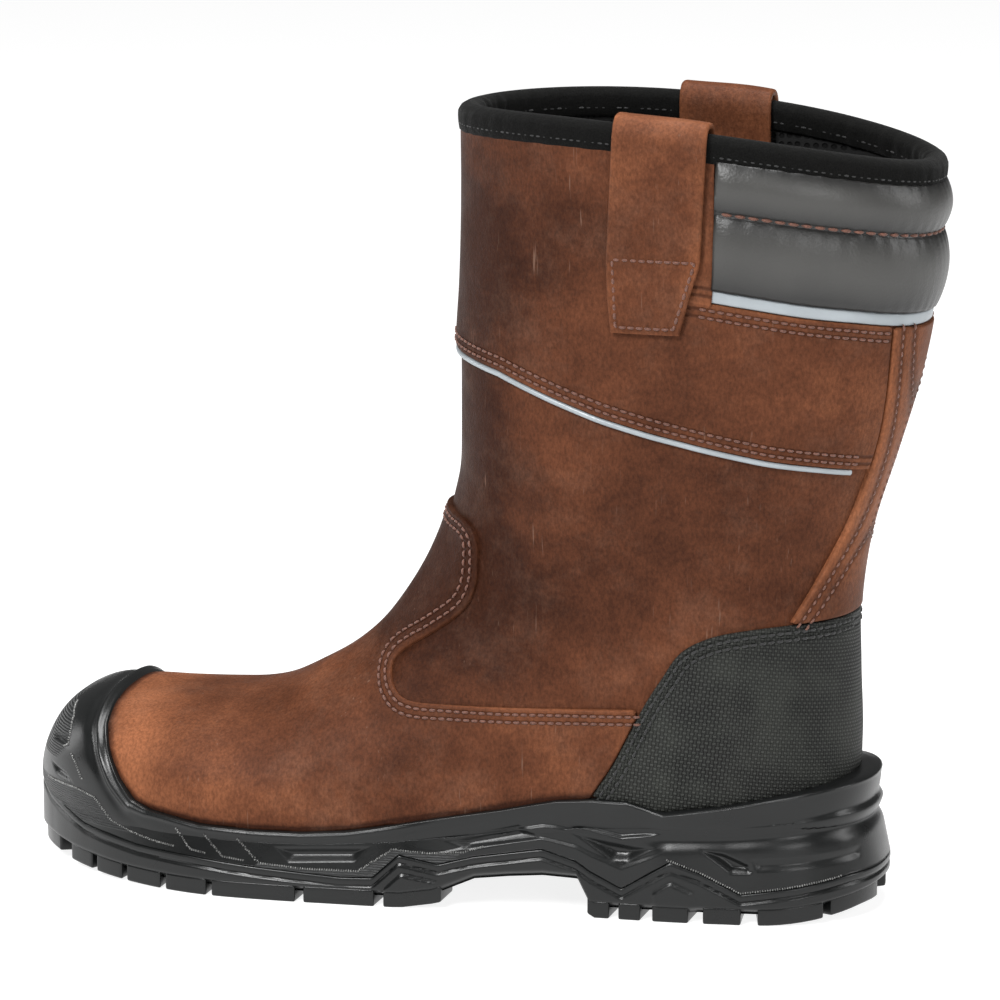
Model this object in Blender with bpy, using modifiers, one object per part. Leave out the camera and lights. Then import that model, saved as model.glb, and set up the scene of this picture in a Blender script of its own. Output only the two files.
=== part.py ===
"""Rigger boot, left foot: a pull-on safety boot with a moulded two-part sole, built as separate pieces.

X runs from the toe (minus) to the heel (plus), the outer side of the foot is at minus Y, and Z is up from the floor.
The upper is a loft through sections that fan from upright at the toe, through the instep, to level at the collar.
Every overlay is cut from that same loft, and the sole is built on stations whose outline is read from it.
"""
import math
from collections import namedtuple

import bmesh
import bpy
from mathutils import Vector
from mathutils.bvhtree import BVHTree

MM = 0.001

# Sizes of the last and the shaft
LAST_LENGTH = 292.6 * MM      # toe to heel of the upper
TOE_X = -149 * MM             # front of the upper, with X = 0 half way along the outsole
BALL_WIDTH = 100 * MM         # upper across the ball of the foot
TOE_HEIGHT = 61 * MM          # top of the toe box over the floor
FOREFOOT_STACK = 13.5 * MM    # floor to foot bed at the ball
HEEL_STACK = 28 * MM          # floor to foot bed at the heel
INSTEP_HEIGHT = 136 * MM      # where the instep turns into the shaft's front
COUNTER_HEIGHT = 103 * MM     # top of the heel counter
COLLAR_HEIGHT = 271 * MM      # raw top edge of the shaft at its front
COLLAR_DEPTH = 163 * MM       # collar, front to back
COLLAR_WIDTH = 95 * MM        # collar, side to side

# Thicknesses and clearances
UPPER_WALL = 3 * MM           # leather with its lining
LEATHER = 1.6 * MM            # one cut panel laid on the upper
FABRIC = 1.4 * MM             # counter cloth with its backing
BAND_THICKNESS = 1.1 * MM     # reflective band
PAD_CROWN = 5.2 * MM          # how far the collar padding stands off the shaft
PAD_SEAM = 2.2 * MM           # the same at its quilting seam and edges
INSOLE_THICKNESS = 4 * MM
CLEARANCE = 0.35 * MM         # between pieces that lie on each other
JOINT = 0.3 * MM              # between pieces that meet edge to edge

# Collar binding, piping and pull loops
BINDING_DEPTH = 5.5 * MM      # how far the binding reaches down each face of the collar
BINDING_THICKNESS = 1.9 * MM
PIPING_DIAMETER = 1.7 * MM
LOOP_WIDTH = 32 * MM
LOOP_THICKNESS = 2.2 * MM
LOOP_FRONT_X = 66 * MM        # front edge of each pull loop
LOOP_FOOT_Z = 203 * MM        # lowest point of the stitched end
LOOP_LEAN = 3.5 * MM            # further back at the collar than at the stitched end
LOOP_STAND_OFF = 1.2 * MM     # further from the shaft at the collar than at its foot
LOOP_INSIDE = 34 * MM         # how far the loop runs down inside the shaft
LOOP_TIP_TAPER = 6 * MM       # how much each side of the stitched end draws in
LOOP_TIP_LENGTH = 12 * MM

# Sole
RIM_THICKNESS = 3.9 * MM      # sole edge, outside the upper, at its top
WALL_FLARE = 6.2 * MM         # how far the sole stands out at its split line
TOE_FLARE = -1.6 * MM         # more of that at the toe, and at the back of the heel
HEEL_FLARE = 8.6 * MM
HEEL_RIM = 4.0 * MM           # extra rim thickness at the back of the heel
CAP_EDGE_THICKNESS = 2.6 * MM # toe cap at its rear edge
SIDE_ROUNDING = 1.8 * MM      # how far the tread draws in under its edge at the sides
END_ROUNDING = 4.0 * MM       # the same at the toe and the heel
TREAD_FLOOR = 3.6 * MM        # floor to the sole between the lugs
TREAD_PLATE = 4.4 * MM        # outsole above that, inside its raised edge
ARCH_RISE = 9.8 * MM          # extra height of the tread floor under the arch
TOE_SPRING = 4.6 * MM         # rise of the tread at the toe tip
HEEL_BEVEL = 4.5 * MM         # rise of the tread at the back of the heel
EDGE_WIDTH = 3.2 * MM         # raised outer edge of the outsole
LUG_DEPTH_IN = 15 * MM        # how far the side lugs reach in under the foot
LUG_INSET = 0.5 * MM          # side lugs behind the outsole's edge
TOE_RADIUS = 46 * MM          # centre of the toe stations behind the toe
HEEL_RADIUS = 37 * MM         # centre of the heel stations in front of the heel
FEATHER_RISE = 7 * MM         # over the foot bed, where the upper is widest

COLUMNS = 32                  # points around each section of the upper

Section = namedtuple(
    "Section", "front_x front_z back_x back_z outer inner widest crown base swing bow"
)

# Each row is a section plane through the boot, from the dorsal line (front) to the sole or heel line (back).
# x: shares of LAST_LENGTH behind the toe. Widths and swing, the sideways curve of the last: shares of BALL_WIDTH.
# widest: height of the widest place, from back to front. crown and base: roundness of the two ends, 2 is round.
# Forefoot rows: front_z of TOE_HEIGHT, back_z of FOREFOOT_STACK.
FOREFOOT = (
    Section(0.000, 0.440, 0.0000, 2.00, 0.000, 0.000, 0.50, 2.00, 2.0, 0.070, 0),
    Section(0.005, 0.570, 0.0085, 1.44, 0.125, 0.120, 0.50, 2.20, 2.4, 0.070, 0),
    Section(0.015, 0.700, 0.0270, 1.26, 0.215, 0.200, 0.46, 2.30, 2.8, 0.070, 0),
    Section(0.034, 0.835, 0.0550, 1.19, 0.305, 0.275, 0.42, 2.40, 3.2, 0.065, 0),
    Section(0.062, 0.925, 0.0920, 1.11, 0.385, 0.335, 0.40, 2.50, 3.8, 0.060, 0),
    Section(0.099, 0.960, 0.1400, 1.06, 0.450, 0.385, 0.38, 2.50, 4.4, 0.050, 0),
    Section(0.154, 0.965, 0.2015, 1.015, 0.500, 0.420, 0.37, 2.45, 5.0, 0.040, 0),
    Section(0.208, 0.978, 0.2630, 0.985, 0.525, 0.455, 0.36, 2.35, 5.0, 0.030, 0),
    Section(0.256, 1.003, 0.3315, 0.980, 0.525, 0.465, 0.35, 2.25, 5.0, 0.025, 0),
    Section(0.300, 1.062, 0.4065, 1.040, 0.510, 0.450, 0.34, 2.20, 5.0, 0.020, 0),
)
# Waist rows: front_z of INSTEP_HEIGHT, back_z of HEEL_STACK.
WAIST = (
    Section(0.3450, 0.527, 0.492, 0.590, 0.490, 0.420, 0.34, 2.15, 5.0, 0.015, 0),
    Section(0.3870, 0.584, 0.595, 0.730, 0.455, 0.380, 0.36, 2.10, 5.0, 0.010, 0),
    Section(0.4255, 0.656, 0.714, 0.885, 0.430, 0.375, 0.40, 2.10, 5.0, 0.005, 0),
    Section(0.4575, 0.742, 0.842, 0.975, 0.420, 0.390, 0.44, 2.10, 4.6, 0.000, 0),
    Section(0.4825, 0.830, 0.938, 1.030, 0.410, 0.400, 0.46, 2.10, 3.6, 0.000, 0),
)
# Ankle rows: front_z of INSTEP_HEIGHT, back_z of COUNTER_HEIGHT, widths of COLLAR_WIDTH.
ANKLE = (
    Section(0.5015, 0.926, 0.985, 0.350, 0.430, 0.420, 0.48, 2.10, 2.7, 0, 0),
    Section(0.5115, 1.010, 0.995, 0.553, 0.430, 0.430, 0.49, 2.15, 2.3, 0, 0),
)
# Shaft rows: front_z of the rise from INSTEP_HEIGHT to COLLAR_HEIGHT, back_z of the rise from COUNTER_HEIGHT.
# back_x: shares of COLLAR_DEPTH behind front_x. Widths and bow, the rise of the section's middle: of COLLAR_WIDTH.
SHAFT = (
    Section(0.5190, 0.089, 0.850, -0.125, 0.435, 0.435, 0.50, 2.20, 2.25, 0.000, 0),
    Section(0.5210, 0.185, 0.845, 0.024, 0.445, 0.445, 0.50, 2.20, 2.25, 0.000, 0),
    Section(0.5220, 0.304, 0.868, 0.179, 0.455, 0.455, 0.50, 2.20, 2.25, 0.000, 0.004),
    Section(0.5225, 0.430, 0.914, 0.327, 0.465, 0.465, 0.50, 2.20, 2.25, 0.000, 0.011),
    Section(0.5265, 0.556, 0.952, 0.476, 0.475, 0.475, 0.50, 2.20, 2.25, -0.004, 0.022),
    Section(0.5285, 0.689, 0.978, 0.619, 0.485, 0.485, 0.50, 2.15, 2.20, -0.008, 0.033),
    Section(0.5295, 0.822, 0.987, 0.756, 0.495, 0.495, 0.50, 2.10, 2.20, -0.014, 0.044),
    Section(0.5295, 0.926, 0.992, 0.845, 0.500, 0.500, 0.50, 2.10, 2.20, -0.018, 0.052),
    Section(0.5295, 1.000, 0.995, 0.917, 0.500, 0.500, 0.50, 2.10, 2.20, -0.020, 0.055),
)
# Lines seen from the side. x: shares of LAST_LENGTH behind the toe. z: shares of the size named for each line.
VAMP_EDGE = (            # z of INSTEP_HEIGHT, from the front of the shaft, round the throat, back to the counter
    (0.495, 1.000), (0.522, 0.975), (0.546, 0.962), (0.563, 0.925), (0.566, 0.853), (0.562, 0.792),
    (0.548, 0.737), (0.514, 0.677), (0.486, 0.638), (0.469, 0.607), (0.464, 0.574), (0.472, 0.532),
    (0.493, 0.510), (0.550, 0.513), (0.668, 0.525), (0.774, 0.537),
)
COUNTER_FRONT = (        # z of COUNTER_HEIGHT, up from the sole and back over the heel
    (0.700, 0.300), (0.717, 0.411), (0.741, 0.520), (0.774, 0.709), (0.797, 0.817), (0.818, 0.905),
    (0.850, 0.957), (0.890, 0.983), (0.946, 0.998), (1.060, 1.010),
)
BACKSTAY_FRONT = (       # z of COLLAR_HEIGHT, up from the counter
    (0.930, 0.368), (0.963, 0.432), (0.995, 0.507), (1.022, 0.594), (1.037, 0.667), (1.047, 0.760),
)
CUFF_EDGE = (            # z of COLLAR_HEIGHT, back from the front of the shaft
    (0.490, 0.712), (0.512, 0.704), (0.536, 0.696), (0.597, 0.684), (0.664, 0.660), (0.727, 0.639),
    (0.786, 0.622), (0.845, 0.608), (0.913, 0.593), (0.968, 0.583), (1.030, 0.570),
)
BAND_FOOT = (            # z of COLLAR_HEIGHT, back from the pull loop
    (0.780, 0.800), (0.840, 0.792), (0.902, 0.782), (0.958, 0.772), (1.011, 0.764), (1.060, 0.754),
    (1.100, 0.748),
)
BAND_TOP_RISE = 4.6 * MM      # reflective band, foot to top, at the pull loop
RIM_LINE = (             # z of HEEL_STACK, along the top edge of the sole from the toe stations to the heel
    (0.180, 0.99), (0.246, 0.89), (0.309, 0.865), (0.371, 0.87), (0.425, 0.92), (0.490, 1.04),
    (0.548, 1.16), (0.606, 1.275), (0.675, 1.44), (0.714, 1.48), (0.758, 1.48), (0.788, 1.40),
    (0.800, 1.375), (0.865, 1.475), (0.934, 1.60), (0.987, 1.70), (1.02, 1.74),
)
SPLIT_LINE = (           # z of HEEL_STACK, the zigzag joint of midsole and outsole
    (-0.030, 1.03), (-0.006, 1.03), (0.020, 0.85), (0.083, 0.63), (0.164, 0.525), (0.237, 0.49),
    (0.319, 0.42), (0.420, 0.355), (0.460, 0.37), (0.491, 0.675), (0.537, 0.575), (0.578, 0.690),
    (0.659, 0.83), (0.700, 0.70), (0.716, 0.59), (0.754, 0.393), (0.811, 0.76), (0.845, 0.64),
    (0.892, 0.39), (0.960, 0.493), (1.011, 0.59), (1.060, 0.60),
)
CAP_EDGE = (             # z of TOE_HEIGHT, down the rear edge of the moulded toe cap to the rim
    (0.103, 1.200), (0.104, 0.993), (0.106, 0.916), (0.110, 0.839), (0.123, 0.723), (0.139, 0.607),
    (0.160, 0.492),
)
ARCH_LINE = (            # height of the arch's underside, in ARCH_RISE
    (0.491, 0.0), (0.537, 0.22), (0.578, 0.76), (0.618, 0.90), (0.659, 1.0), (0.700, 0.95), (0.716, 0.0),
)
# Side stations between the toe and heel arcs, shares of LAST_LENGTH. Most lie on a corner of the lines above.
SIDE_STATIONS = (
    0.164, 0.200, 0.237, 0.278, 0.319, 0.370, 0.420, 0.460, 0.491, 0.537, 0.578, 0.618,
    0.659, 0.700, 0.716, 0.754, 0.788, 0.811, 0.845,
)
TOE_ANGLES = (0, 15, 30, 44, 54, 63, 69, 76, 83)
HEEL_ANGLES = (80, 66, 50, 34, 17, 0)
# Rows of the midsole's side. up: from the split line, 0, to the rim, 1. proud: share of the local wall thickness.
WALL_ROWS = ((0.0, 1.00), (0.22, 0.99), (0.28, 0.90), (0.58, 0.86), (0.62, 0.70), (1.0, 0.66))
# Side lugs, first and last place along the sole, shares of LAST_LENGTH
SIDE_LUGS = (
    (0.055, 0.092), (0.100, 0.140), (0.147, 0.195), (0.202, 0.256), (0.263, 0.366), (0.376, 0.461),
    (0.472, 0.540), (0.713, 0.739), (0.750, 0.776), (0.790, 0.832), (0.849, 0.893),
)
TOE_LUGS = ((-38, -14), (-10, 10), (14, 38))      # degrees either side of the toe
HEEL_LUGS = ((-74, -44), (-40, -8), (8, 40), (44, 74))   # degrees either side of the heel
MIDDLE_LUGS = (0.150, 0.215, 0.280, 0.345, 0.410, 0.765, 0.825, 0.885)
MIDDLE_LUG_LENGTH = 9 * MM
MIDDLE_LUG_SPAN = 36 * MM
MIDDLE_LUG_SWEEP = 7 * MM     # how far each middle lug's wings sweep back
ARCH_RIBS = (0.588, 0.622, 0.656)
ARCH_RIB = 2.4 * MM

COLOURS = {              # base colour, roughness
    "leather": ((0.150, 0.058, 0.030), 0.62),
    "leather_panel": ((0.165, 0.064, 0.034), 0.62),
    "fabric": ((0.016, 0.017, 0.015), 0.85),
    "padding": ((0.040, 0.041, 0.039), 0.50),
    "reflective": ((0.450, 0.480, 0.500), 0.35),
    "binding": ((0.008, 0.008, 0.008), 0.90),
    "midsole": ((0.014, 0.015, 0.015), 0.42),
    "outsole": ((0.012, 0.013, 0.013), 0.50),
    "insole": ((0.020, 0.020, 0.021), 0.90),
}


def along(share):
    """Distance along X of a share of the last."""
    return TOE_X + share * LAST_LENGTH


def real_sections():
    """The section tables, in metres."""
    rows = []
    for group, front_scale, back_scale, width in (
        (FOREFOOT, TOE_HEIGHT, FOREFOOT_STACK, BALL_WIDTH),
        (WAIST, INSTEP_HEIGHT, HEEL_STACK, BALL_WIDTH),
        (ANKLE, INSTEP_HEIGHT, COUNTER_HEIGHT, COLLAR_WIDTH),
    ):
        for s in group:
            rows.append(s._replace(
                front_x=along(s.front_x), front_z=s.front_z * front_scale,
                back_x=along(s.back_x), back_z=s.back_z * back_scale,
                outer=s.outer * width, inner=s.inner * width, swing=s.swing * width))
    for s in SHAFT:
        front_x = along(s.front_x)
        rows.append(s._replace(
            front_x=front_x,
            front_z=INSTEP_HEIGHT + s.front_z * (COLLAR_HEIGHT - INSTEP_HEIGHT),
            back_x=front_x + s.back_x * COLLAR_DEPTH,
            back_z=COUNTER_HEIGHT + s.back_z * (COLLAR_HEIGHT - COUNTER_HEIGHT),
            outer=s.outer * COLLAR_WIDTH, inner=s.inner * COLLAR_WIDTH,
            swing=s.swing * COLLAR_WIDTH, bow=s.bow * COLLAR_WIDTH))
    return rows


SECTIONS = real_sections()
LAST_ROW = len(SECTIONS) - 1


def spline(before, start, end, after, t):
    """Catmull-Rom value between start and end."""
    a = 2 * start
    b = end - before
    c = 2 * before - 5 * start + 4 * end - after
    d = 3 * (start - end) + after - before
    return (a + b * t + c * t * t + d * t ** 3) / 2


def section_at(t):
    """The section at place t, where whole numbers are the table's rows."""
    i = min(int(t), LAST_ROW - 1)
    first, last = SECTIONS[max(i - 1, 0)], SECTIONS[min(i + 2, LAST_ROW)]
    return Section(*(spline(*four, t - i) for four in zip(first, SECTIONS[i], SECTIONS[i + 1], last)))


def surface(t, angle):
    """Point of the upper's outside: section t, angle round it from the dorsal line towards the outer side."""
    s = section_at(t)
    front = Vector((s.front_x, s.front_z))
    back = Vector((s.back_x, s.back_z))
    c, w = math.cos(angle), math.sin(angle)
    power = s.crown if c >= 0 else s.base
    reach = (abs(c) ** power + abs(w) ** power) ** (-1 / power)
    share = s.widest + reach * c * ((1 - s.widest) if c >= 0 else s.widest)
    middle = back.lerp(front, share)
    axis = (front - back).normalized() if front != back else Vector((0, 1))
    middle += Vector((axis.y, -axis.x)) * s.bow * 4 * share * (1 - share)
    half = s.outer if w >= 0 else s.inner
    return Vector((middle.x, s.swing - half * reach * w, middle.y))


def surface_normal(t, angle):
    """Outward normal of the upper there."""
    step = 0.02
    if t < step:
        return Vector((-1, 0, 0))
    down, up = max(t - step, 0), min(t + step, LAST_ROW)
    lengthwise = surface(up, angle) - surface(down, angle)
    around = surface(t, angle + step) - surface(t, angle - step)
    return around.cross(lengthwise).normalized()


def lifted(t, angle, proud):
    return surface(t, angle) + surface_normal(t, angle) * proud


def piecewise(table, x, x_scale=1.0, z_scale=1.0):
    """Straight-line value of a table of (place, height) at x."""
    pairs = [(a * x_scale, b * z_scale) for a, b in table]
    if x <= pairs[0][0]:
        return pairs[0][1]
    for (a, low), (b, high) in zip(pairs, pairs[1:]):
        if x <= b:
            return low + (high - low) * (x - a) / (b - a)
    return pairs[-1][1]


def share_of(x):
    return (x - TOE_X) / LAST_LENGTH


def side_line(table, x, height):
    """Height at x of a line seen from the side."""
    return piecewise(table, share_of(x), 1.0, height)


BED_ROWS = 14


def bed_height(x):
    """Underside of the upper, on which the foot bed lies."""
    line = [(SECTIONS[i].back_x, SECTIONS[i].back_z) for i in range(1, BED_ROWS + 1)]
    return piecewise(line, x)


def tread_height(x):
    """The outsole's underside between its lugs."""
    s = share_of(x)
    toe = max(0.0, (0.25 - s) / 0.27) ** 2
    heel = max(0.0, (s - 0.90) / 0.12) ** 2
    return TREAD_FLOOR + ARCH_RISE * piecewise(ARCH_LINE, s) + TOE_SPRING * toe + HEEL_BEVEL * min(heel, 1.0)


def rim_height(x):
    return side_line(RIM_LINE, x, HEEL_STACK)


def split_height(x):
    return side_line(SPLIT_LINE, x, HEEL_STACK)


def object_from(name, bm, colour, smooth=True):
    """A new object in the boot's collection from a bmesh, which is freed."""
    mesh = bpy.data.meshes.new(name)
    bm.to_mesh(mesh)
    bm.free()
    if smooth:
        mesh.shade_smooth()
        mesh.set_sharp_from_angle(angle=math.radians(40))
    obj = bpy.data.objects.new(name, mesh)
    BOOT.objects.link(obj)
    mesh.materials.append(material(colour))
    return obj


def material(name):
    found = bpy.data.materials.get(name)
    if found:
        return found
    made = bpy.data.materials.new(name)
    made.use_nodes = True
    shader = made.node_tree.nodes["Principled BSDF"]
    colour, roughness = COLOURS[name]
    shader.inputs["Base Color"].default_value = (*colour, 1)
    shader.inputs["Roughness"].default_value = roughness
    shader.inputs["Metallic"].default_value = 0
    return made


def face_outwards(bm):
    bmesh.ops.recalc_face_normals(bm, faces=bm.faces)


def form_grid(proud, rows=LAST_ROW + 1, columns=COLUMNS, top=LAST_ROW):
    """Rows of points of the upper's outside, raised by proud. The first row is the toe's single point."""
    grid = [[lifted(0, 0, proud)]]
    for i in range(1, rows):
        t = top * i / (rows - 1)
        grid.append([lifted(t, 2 * math.pi * j / columns, proud) for j in range(columns)])
    return grid


def grid_faces(grid):
    """Triangles of a form grid as index pairs (row, column). The two sides of the boot mirror each other."""
    columns = len(grid[1])
    faces = [((0, 0), (1, (j + 1) % columns), (1, j)) for j in range(columns)]
    for i in range(1, len(grid) - 1):
        for j in range(columns):
            k = (j + 1) % columns
            if j < columns // 2:
                faces += [((i, j), (i, k), (i + 1, k)), ((i, j), (i + 1, k), (i + 1, j))]
            else:
                faces += [((i, j), (i, k), (i + 1, j)), ((i, k), (i + 1, k), (i + 1, j))]
    return faces


def crossing(start, end, inside):
    """Share of the way from start to end at which inside changes sign."""
    low, high = 0.0, 1.0
    begins_inside = inside(start) > 0
    for _ in range(12):
        middle = (low + high) / 2
        if (inside(start.lerp(end, middle)) > 0) == begins_inside:
            low = middle
        else:
            high = middle
    return (low + high) / 2


def trimmed_sheet(proud, inside):
    """The part of the upper's outside where inside(point) is positive, as an open sheet raised by proud."""
    base = form_grid(0)
    raised = form_grid(proud)
    faces = grid_faces(base)
    value = {(i, j): inside(p) for i, row in enumerate(base) for j, p in enumerate(row)}
    cuts = {}
    for a, b in sorted({tuple(sorted(pair)) for f in faces for pair in zip(f, f[1:] + f[:1])}):
        if value[a] * value[b] < 0:
            cuts[a, b] = crossing(base[a[0]][a[1]], base[b[0]][b[1]], inside)
            if cuts[a, b] < 0.02:
                value[a] = 0.0
            elif cuts[a, b] > 0.98:
                value[b] = 0.0
    bm = bmesh.new()
    made = {}

    def vertex(key):
        if key not in made:
            if isinstance(key[0], tuple):
                a, b = key
                point = raised[a[0]][a[1]].lerp(raised[b[0]][b[1]], cuts[key])
            else:
                point = raised[key[0]][key[1]]
            made[key] = bm.verts.new(point)
        return made[key]

    for face in faces:
        if max(value[k] for k in face) <= 0:
            continue
        corners = []
        for a, b in zip(face, face[1:] + face[:1]):
            if value[a] >= 0:
                corners.append(a)
            if value[a] * value[b] < 0:
                corners.append(tuple(sorted((a, b))))
        if len(corners) >= 3:
            bm.faces.new([vertex(k) for k in corners])
    for lone in [v for v in bm.verts if not v.link_faces]:
        bm.verts.remove(lone)
    return bm


def thicken(obj, thickness, outward):
    solid = obj.modifiers.new("Thickness", "SOLIDIFY")
    solid.thickness = thickness
    solid.offset = 1 if outward else -1
    return obj


def outline(*paths):
    """One closed list of side-view points."""
    return [Vector(p) for path in paths for p in path]


def rounded(points, height, steps=4):
    """A side line in metres, drawn as a smooth curve through its points."""
    real = [Vector((along(a), b * height)) for a, b in points]
    line = []
    for i in range(len(real) - 1):
        before, after = real[max(i - 1, 0)], real[min(i + 2, len(real) - 1)]
        for k in range(steps):
            line.append(Vector((spline(before.x, real[i].x, real[i + 1].x, after.x, k / steps),
                                spline(before.y, real[i].y, real[i + 1].y, after.y, k / steps))))
    return line + [real[-1]]


def depth_inside(polygon, x, z):
    """Distance from a side-view point to the outline, positive inside."""
    here = Vector((x, z))
    nearest = math.inf
    inside = False
    for a, b in zip(polygon, polygon[1:] + polygon[:1]):
        run = b - a
        if run.length > 0:
            t = max(0.0, min(1.0, (here - a).dot(run) / run.length_squared))
            nearest = min(nearest, (here - a - run * t).length)
        if (a.y > z) != (b.y > z) and x < a.x + (z - a.y) * (b.x - a.x) / (b.y - a.y):
            inside = not inside
    return nearest if inside else -nearest


def overlay(name, polygon, thickness, colour, extra=None):
    """A panel laid on the upper, cut to a side-view outline on both sides of the boot."""
    def inside(p):
        depth = depth_inside(polygon, p.x, p.z) - JOINT / 2
        return depth if extra is None else min(depth, extra(p))
    sheet = trimmed_sheet(CLEARANCE, inside)
    return thicken(object_from(name, sheet, colour), thickness, outward=True)


class Last:
    """A copy of the upper's outside, to find the outlines of the sole and insole on."""

    def __init__(self, rows, columns):
        grid = form_grid(0, rows, columns)
        points = [p for row in grid for p in row]
        start = [0]
        for row in grid:
            start.append(start[-1] + len(row))
        faces = [[start[i] + j for i, j in face] for face in grid_faces(grid)]
        self.tree = BVHTree.FromPolygons(points, faces)

    def hit(self, origin, direction):
        point, normal, _, distance = self.tree.ray_cast(origin, direction)
        if normal.dot(direction) < 0:
            normal = -normal
        return point, normal, distance


def make_cover():
    """Side-view outline of the sole with its toe cap, running well past the boot in front, below and behind."""
    cap = [(along(a), b * TOE_HEIGHT) for a, b in CAP_EDGE]
    rim = [(along(a), b * HEEL_STACK) for a, b in RIM_LINE]
    front, back, floor = along(-0.3), along(1.4), -HEEL_STACK
    return outline([(front, cap[0][1])], cap, rim, [(back, rim[-1][1]), (back, floor), (front, floor)])


LAST = Last(rows=100, columns=96)
FACETED_LAST = Last(LAST_ROW + 1, COLUMNS)
COVER = make_cover()
TOE_CENTRE = Vector((TOE_X + TOE_RADIUS, 0.05 * BALL_WIDTH, 0))
HEEL_CENTRE = Vector((TOE_X + LAST_LENGTH - HEEL_RADIUS, 0, 0))

# A ray out from the middle of the foot. height and radius: the upper's widest place on it.
# edge: angle above that place at which the ray meets the sole's top edge.
Station = namedtuple("Station", "centre direction height radius edge")


def station(centre, direction):
    height = bed_height(centre.x + direction.x * TOE_RADIUS) + FEATHER_RISE
    origin = centre + Vector((0, 0, height))
    radius = LAST.hit(origin, direction)[2]
    low, high = 0.0, math.radians(85)
    for _ in range(20):
        middle = (low + high) / 2
        point = LAST.hit(origin, direction * math.cos(middle) + Vector((0, 0, math.sin(middle))))[0]
        if depth_inside(COVER, point.x, point.z) > 0:
            low = middle
        else:
            high = middle
    return Station(centre, direction, height, radius, low)


def toe_station(degrees):
    """A station round the toe, positive on the outer side."""
    a = math.radians(degrees)
    return station(TOE_CENTRE, Vector((-math.cos(a), -math.sin(a), 0)))


def heel_station(degrees):
    a = math.radians(degrees)
    return station(HEEL_CENTRE, Vector((math.cos(a), -math.sin(a), 0)))


def side_station(share, side):
    """A station straight out to the outer side, 1, or the inner, -1, or round the toe if it lies there."""
    x = along(share)
    if x < TOE_CENTRE.x:
        return toe_station(side * math.degrees(math.acos(min(1.0, (TOE_CENTRE.x - x) / TOE_RADIUS))))
    y = TOE_CENTRE.y * max(0.0, (HEEL_CENTRE.x - x) / (HEEL_CENTRE.x - TOE_CENTRE.x))
    return station(Vector((x, y, 0)), Vector((0, -side, 0)))


def make_stations():
    """Stations round the whole sole: from the toe down the outer side to the heel, and back up the inner."""
    outer = [toe_station(a) for a in TOE_ANGLES]
    outer += [side_station(share, 1) for share in SIDE_STATIONS]
    outer += [heel_station(a) for a in HEEL_ANGLES]
    inner = [heel_station(-a) for a in HEEL_ANGLES[-2::-1]]
    inner += [side_station(share, -1) for share in SIDE_STATIONS[::-1]]
    inner += [toe_station(-a) for a in TOE_ANGLES[:0:-1]]
    return outer + inner


STATIONS = make_stations()


def flare(s):
    """How far the sole stands out at its split line."""
    forward, back = max(0.0, -s.direction.x), max(0.0, s.direction.x)
    return WALL_FLARE + TOE_FLARE * forward + HEEL_FLARE * back ** 1.5


def rim_thickness(s, up):
    """The wall over its ledge: thicker round the heel, and thinning up to the toe cap's rear edge."""
    forward, back = max(0.0, -s.direction.x), max(0.0, s.direction.x)
    thinned = (RIM_THICKNESS - CAP_EDGE_THICKNESS) * min(1.0, 2 * forward) * up ** 3
    return RIM_THICKNESS - thinned + HEEL_RIM * back ** 1.5


def rounding(s):
    return SIDE_ROUNDING + (END_ROUNDING - SIDE_ROUNDING) * s.direction.x ** 2


def wall_point(s, up, proud):
    """A point of the sole's side: up from the split line, 0, to the top edge, 1, and proud of the upper."""
    out = s.centre + s.direction * (s.radius + proud)
    foot = split_height(out.x)
    rise = s.radius * math.sin(s.edge)
    level = foot + up * (s.height + rise - foot)
    if level <= s.height:
        return out + Vector((0, 0, level))
    angle = math.asin(min(1.0, (level - s.height) / rise * math.sin(s.edge)))
    ray = s.direction * math.cos(angle) + Vector((0, 0, math.sin(angle)))
    point, normal, _ = LAST.hit(s.centre + Vector((0, 0, s.height)), ray)
    return point + normal * proud


def level_point(s, proud, level):
    """A point level with a height, on the widest outline of the upper grown by proud."""
    out = s.centre + s.direction * (s.radius + proud)
    return Vector((out.x, out.y, level))


def ring_loft(rings, turned=0):
    """A solid from rings of points, with strips across its first and last ring.

    The first bands, as many as turned, have their diagonals the other way, to match a neighbour built upwards."""
    bm = bmesh.new()
    loops = [[bm.verts.new(p) for p in ring] for ring in rings]
    n = len(loops[0])
    for band, (low, high) in enumerate(zip(loops, loops[1:])):
        for j in range(n):
            k = (j + 1) % n
            if band < turned:
                bm.faces.new((low[j], low[k], high[j]))
                bm.faces.new((low[k], high[k], high[j]))
            else:
                bm.faces.new((low[j], low[k], high[k]))
                bm.faces.new((low[j], high[k], high[j]))
    for loop in (loops[0], loops[-1]):
        half = n // 2
        for j in range(half):
            a, b, c, d = loop[j], loop[j + 1], loop[(n - j - 1) % n], loop[(n - j) % n]
            if b != c:
                bm.faces.new((a, b, c))
            if a != d:
                bm.faces.new((a, c, d))
    face_outwards(bm)
    return bm


def tread_core(x):
    """Top of the outsole inside its raised edge."""
    return min(tread_height(x) + TREAD_PLATE, bed_height(x) - 2.2 * MM)


def split_rings(gap):
    """The joint of midsole and outsole: the zigzag edge, the foot of that edge, and the level core."""
    rings = [[], [], []]
    for s in STATIONS:
        proud = flare(s)
        edge = level_point(s, proud, 0)
        edge.z = split_height(edge.x) + gap
        ledge = level_point(s, proud - EDGE_WIDTH - gap, 0)
        ledge.z = edge.z
        core = level_point(s, proud - EDGE_WIDTH - 2.5 * MM - gap, 0)
        core.z = min(tread_core(core.x), edge.z - gap - 0.6 * MM) + gap
        for ring, point in zip(rings, (edge, ledge, core)):
            ring.append(point)
    return rings


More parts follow.
